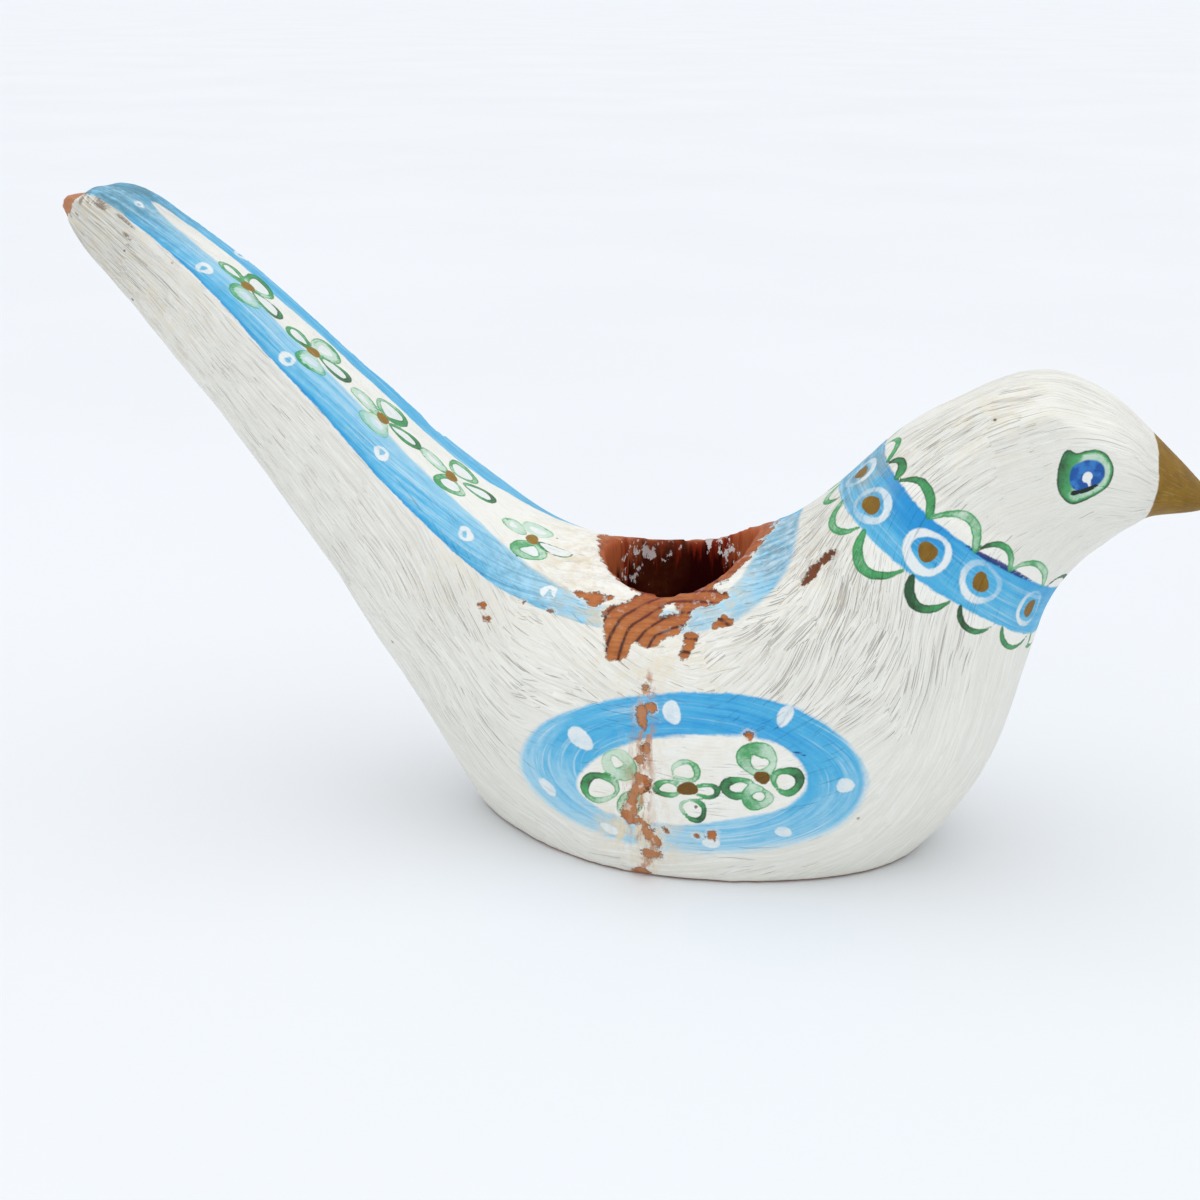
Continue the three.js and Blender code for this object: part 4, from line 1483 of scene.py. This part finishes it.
class PaintSettings(bpy.types.PropertyGroup):
    """Colours and relief of the painted finish."""

    white: colour_setting("White", "Ground coat", 249, 248, 240)
    white_shade: colour_setting("White Shade", "Thinner strokes of the ground coat", 234, 232, 222)
    cream: colour_setting("Cream", "Yellowed ground coat", 232, 219, 190)
    rust: colour_setting("Rust", "Brown that has bled into the ground coat", 188, 132, 92)
    dirt: colour_setting("Dirt", "Dirt in the furrows", 132, 124, 108)
    umber: colour_setting("Umber", "Brown dirt in stained furrows", 116, 88, 62)
    chalk: colour_setting("Chalk", "Broken edge of the ground coat", 240, 233, 218)
    blue_white: colour_setting("Blue White", "White showing through the blue", 208, 230, 240)
    blue_pale: colour_setting("Pale Blue", "Thin blue", 166, 216, 238)
    blue: colour_setting("Blue", "Blue of the borders", 80, 182, 226)
    blue_deep: colour_setting("Deep Blue", "Thick blue", 24, 150, 216)
    blue_night: colour_setting("Night Blue", "Darkest blue strokes", 16, 44, 120)
    blue_grey: colour_setting("Grey Blue", "Soiled blue", 86, 136, 154)
    dab_white: colour_setting("Dab White", "Dots and dabs", 236, 242, 241)
    green_pale: colour_setting("Pale Green", "Thin green", 164, 216, 180)
    green: colour_setting("Green", "Green of the petals", 60, 160, 90)
    green_dark: colour_setting("Dark Green", "Thick green", 0, 68, 26)
    ochre: colour_setting("Ochre", "Beak and dots", 158, 119, 10)
    ochre_dark: colour_setting("Dark Ochre", "Thick ochre", 108, 72, 0)
    ochre_pale: colour_setting("Pale Ochre", "Thin ochre", 196, 172, 118)
    iris: colour_setting("Iris", "Eye", 8, 84, 164)
    iris_pale: colour_setting("Pale Iris", "Thin strokes in the eye", 50, 124, 198)
    glint: colour_setting("Glint", "White in the eye", 240, 243, 240)
    lid: colour_setting("Lid", "Dark line under the eye", 6, 30, 26)
    wood: colour_setting("Wood", "Bare wood", 192, 116, 56)
    wood_dark: colour_setting("Dark Wood", "Shaded fibres", 158, 86, 38)
    wood_line: colour_setting("Ring Line", "Dark lines of the year rings", 78, 32, 14)
    wood_burnt: colour_setting("Burnt Wood", "Upper wall of the socket", 140, 38, 15)
    wood_pale: colour_setting("Pale Wood", "Bare wood at the tail's end and on the sole", 196, 150, 120)
    # Painted light: the socket's wall where light falls on it.
    wood_painted_lit: colour_setting("Painted Lit Wood", "Lit side of the socket's wall", 196, 104, 62)
    # Charring, with painted shade deepening it towards the socket's floor.
    char: colour_setting("Char", "Depth of the socket", 54, 3, 2)
    soot: colour_setting("Soot", "Soot on the rim", 72, 62, 60)
    wax: colour_setting("Wax", "Wax left in the socket", 255, 252, 250)
    relief: length_setting("Brush Relief", "Height of the brush ridges", 0.00038)


class StageSettings(bpy.types.PropertyGroup):
    """Floor, light and camera."""

    floor_width: length_setting("Floor Width", "Width of the table top", 80.0)
    floor_colour: colour_setting("Floor Colour", "Pale table top", 237, 239, 241)
    sky_colour: colour_setting("Room Colour", "Light of the room", 244, 247, 252)
    sky_strength: FloatProperty(name="Room Light", description="Strength of the light all round", default=0.86)
    window_strength: FloatProperty(
        name="Window Light", description="Strength of the broad light", default=0.98,
    )
    window_spread: angle_setting("Window Spread", "How broad the light is", 70)
    azimuth: angle_setting("Azimuth", "Camera's turn round the bird from its side", 13)
    elevation: angle_setting("Elevation", "Camera's height angle", 19)
    distance: length_setting("Distance", "From the camera to the point it looks at", 0.26352)
    aim: FloatVectorProperty(
        name="Aim", description="Point that the camera looks at", subtype="TRANSLATION", size=3,
        default=(-0.012, 0.0, 0.03304),
    )
    lens: FloatProperty(name="Lens", description="Focal length", default=54.0, unit="CAMERA")


# ----------------------------------------------------------------------
# Operators
# ----------------------------------------------------------------------

COATS = (
    "blue", "green", "ochre", "white", "night", "cover", "iris", "lid", "glint", "rust", "bare", "scratch",
)
TONED_COATS = ("blue", "green", "ochre", "white", "bare")
SPOTS = {
    "grime": GRIME_AND_SHADE, "stain": STAIN, "furrowed": FURROWED, "faded": FADED, "flaking": FLAKING, "wax": WAX,
    "soot": SOOT,
}
# The rim is burnt up to so far from the socket's axis, fully nearer to it, and only above a height.
RIM_BURNT = (17, 11)
RIM_BURNT_ABOVE = 30
# Between which distances from the paint's edge, and which heights above the sole, wood sinks below the paint.
SUNK_BETWEEN = (0.3, -0.3)
SUNK_ABOVE = (0.6, 1.4)


class CANDLESTICK_OT_bird(bpy.types.Operator):
    """Carves, paints and wears the bird"""

    bl_idname = "candlestick.bird"
    bl_label = "Carved Bird"

    def execute(self, context):
        carving, paint = context.scene.bird_carving, context.scene.bird_paint
        bird = copy_of_solid("painted_bird", "carved_bird")
        soften_facets(bird, carving)
        mesh = bird.data
        socket = carving.socket_diameter / MM / 2, carving.socket_floor / MM
        refine_where_painted(bird, Charts(points_of(mesh), *socket))
        points = points_of(mesh)
        shape_rim(points, carving)
        dress_tail_end(points)
        put_points(mesh, points)
        wear_rim(bird, Charts(points, *socket), carving.rubbing)
        points = points_of(mesh)
        chip_edges(points, normals_of(mesh))
        knife_marks(points, normals_of(mesh), carving)
        self.paint(mesh, Charts(points, *socket), carving)
        mesh.materials.append(painted_wood(paint))
        select_only(bird)
        bpy.ops.object.shade_smooth()
        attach(bird, "root")
        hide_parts("carved_bird")
        return {"FINISHED"}

    def paint(self, mesh, charts, carving):
        """Paints and wears every coat, keeps the readings, and sinks the bare wood below the paint."""
        coats = {name: Coat(len(charts.x)) for name in COATS}
        blue, green, ochre, white, night, cover, iris, lid, glint, rust, bare, scratch = coats.values()
        paint_border(charts, blue, white, cover)
        paint_tail_flowers(charts, green, ochre, white)
        for side, plain in ((charts.near, False), (charts.far, True)):
            paint_wing(charts, side, blue, green, ochre, white, night, cover, plain)
            paint_eye(side, green, iris, glint, lid)
        paint_collar(charts, blue, green, ochre, white, night, cover)
        paint_beak(charts, ochre)
        wear_paint(charts, bare, rust, scratch, carving.socket_diameter / MM / 2)
        for name, coat in coats.items():
            save_reading(mesh, name, coat.edge)
        for name in TONED_COATS:
            save_reading(mesh, name + "_tone", coats[name].tone)
        save_reading(mesh, "blue_soft", blue.soft)
        save_reading(mesh, "flow", charts.stroke_flow())
        save_reading(mesh, "border_flow", charts.border_flow())
        for name, places in SPOTS.items():
            save_reading(mesh, name, spots(charts.points, places))
        # Painted light on the socket's wall: where it is lit, its charring and painted shade start lower.
        side_light = charts.side_light()
        save_reading(mesh, "bore", charts.bore)
        save_reading(mesh, "side_light", side_light)
        save_reading(mesh, "bore_depth", charts.bore_depth - charts.DARK_LOWER_WHERE_LIT * side_light)
        save_reading(mesh, "rim", ramp(charts.from_axis, *RIM_BURNT) * (charts.z > RIM_BURNT_ABOVE))
        sunk = ramp(bare.edge, *SUNK_BETWEEN) * (1 - charts.bore) * ramp(charts.z, *SUNK_ABOVE)
        points = charts.points - normals_of(mesh) * (sunk * carving.paint_thickness / MM)[:, None]
        put_points(mesh, points)


# Where the broad light comes from, the camera's sensor in millimetres, and the nearest it sees, in metres.
WINDOW_FROM = (0.0, -0.04, 1.0)
SENSOR_WIDTH = 36.0
NEAREST_SEEN = 0.01


class CANDLESTICK_OT_stage(bpy.types.Operator):
    """Sets the pale floor, the soft light and the camera"""

    bl_idname = "candlestick.stage"
    bl_label = "Stage"

    def execute(self, context):
        stage = context.scene.bird_stage
        bpy.ops.object.select_all(action="DESELECT")
        bpy.ops.mesh.primitive_plane_add(size=stage.floor_width, location=(0, 0, 0))
        floor = context.object
        floor.name = floor.data.name = "table_top"
        floor.data.materials.append(pale_floor(stage))
        self.light(context, stage)
        self.camera(context, stage)
        return {"FINISHED"}

    def light(self, context, stage):
        world = bpy.data.worlds.new("pale_room")
        world.use_nodes = True
        background = world.node_tree.nodes["Background"]
        background.inputs["Color"].default_value = (*stage.sky_colour, 1.0)
        background.inputs["Strength"].default_value = stage.sky_strength
        context.scene.world = world
        context.scene.view_settings.view_transform = "Standard"
        place = Vector(WINDOW_FROM)
        bpy.ops.object.light_add(type="SUN", location=place, rotation=place.to_track_quat("Z", "Y").to_euler())
        window = context.object
        window.name = window.data.name = "window_light"
        window.data.angle = stage.window_spread
        window.data.energy = stage.window_strength

    def camera(self, context, stage):
        a, e = stage.azimuth, stage.elevation
        back = Vector((math.sin(a) * math.cos(e), -math.cos(a) * math.cos(e), math.sin(e)))
        place = Vector(stage.aim) + back * stage.distance
        bpy.ops.object.camera_add(location=place, rotation=back.to_track_quat("Z", "Y").to_euler())
        camera = context.object
        camera.name = camera.data.name = "photo_camera"
        camera.data.sensor_width = SENSOR_WIDTH
        camera.data.lens = stage.lens
        camera.data.clip_start = NEAREST_SEEN
        context.scene.camera = camera


class CANDLESTICK_PT_panel(bpy.types.Panel):
    """Lists the candlestick's pieces and settings"""

    bl_idname = "CANDLESTICK_PT_panel"
    bl_label = "Carved Bird Candlestick"
    bl_space_type = "VIEW_3D"
    bl_region_type = "UI"
    bl_category = "Candlestick"

    def draw(self, context):
        scene = context.scene
        for operator, groups in (
            (CANDLESTICK_OT_bird, (scene.bird_carving, scene.bird_paint)),
            (CANDLESTICK_OT_stage, (scene.bird_stage,)),
        ):
            column = self.layout.column()
            column.operator(operator.bl_idname)
            for group in groups:
                for key in group.__annotations__:
                    column.prop(group, key)


CLASSES = (
    CarvingSettings, PaintSettings, StageSettings,
    CANDLESTICK_OT_bird, CANDLESTICK_OT_stage, CANDLESTICK_PT_panel,
)


def register():
    for each in CLASSES:
        bpy.utils.register_class(each)
    bpy.types.Scene.bird_carving = PointerProperty(type=CarvingSettings)
    bpy.types.Scene.bird_paint = PointerProperty(type=PaintSettings)
    bpy.types.Scene.bird_stage = PointerProperty(type=StageSettings)


def unregister():
    for name in ("bird_carving", "bird_paint", "bird_stage"):
        delattr(bpy.types.Scene, name)
    for each in reversed(CLASSES):
        bpy.utils.unregister_class(each)


def main():
    register()
    bpy.ops.candlestick.bird()
    bpy.ops.candlestick.stage()


if __name__ == "__main__":
    main()
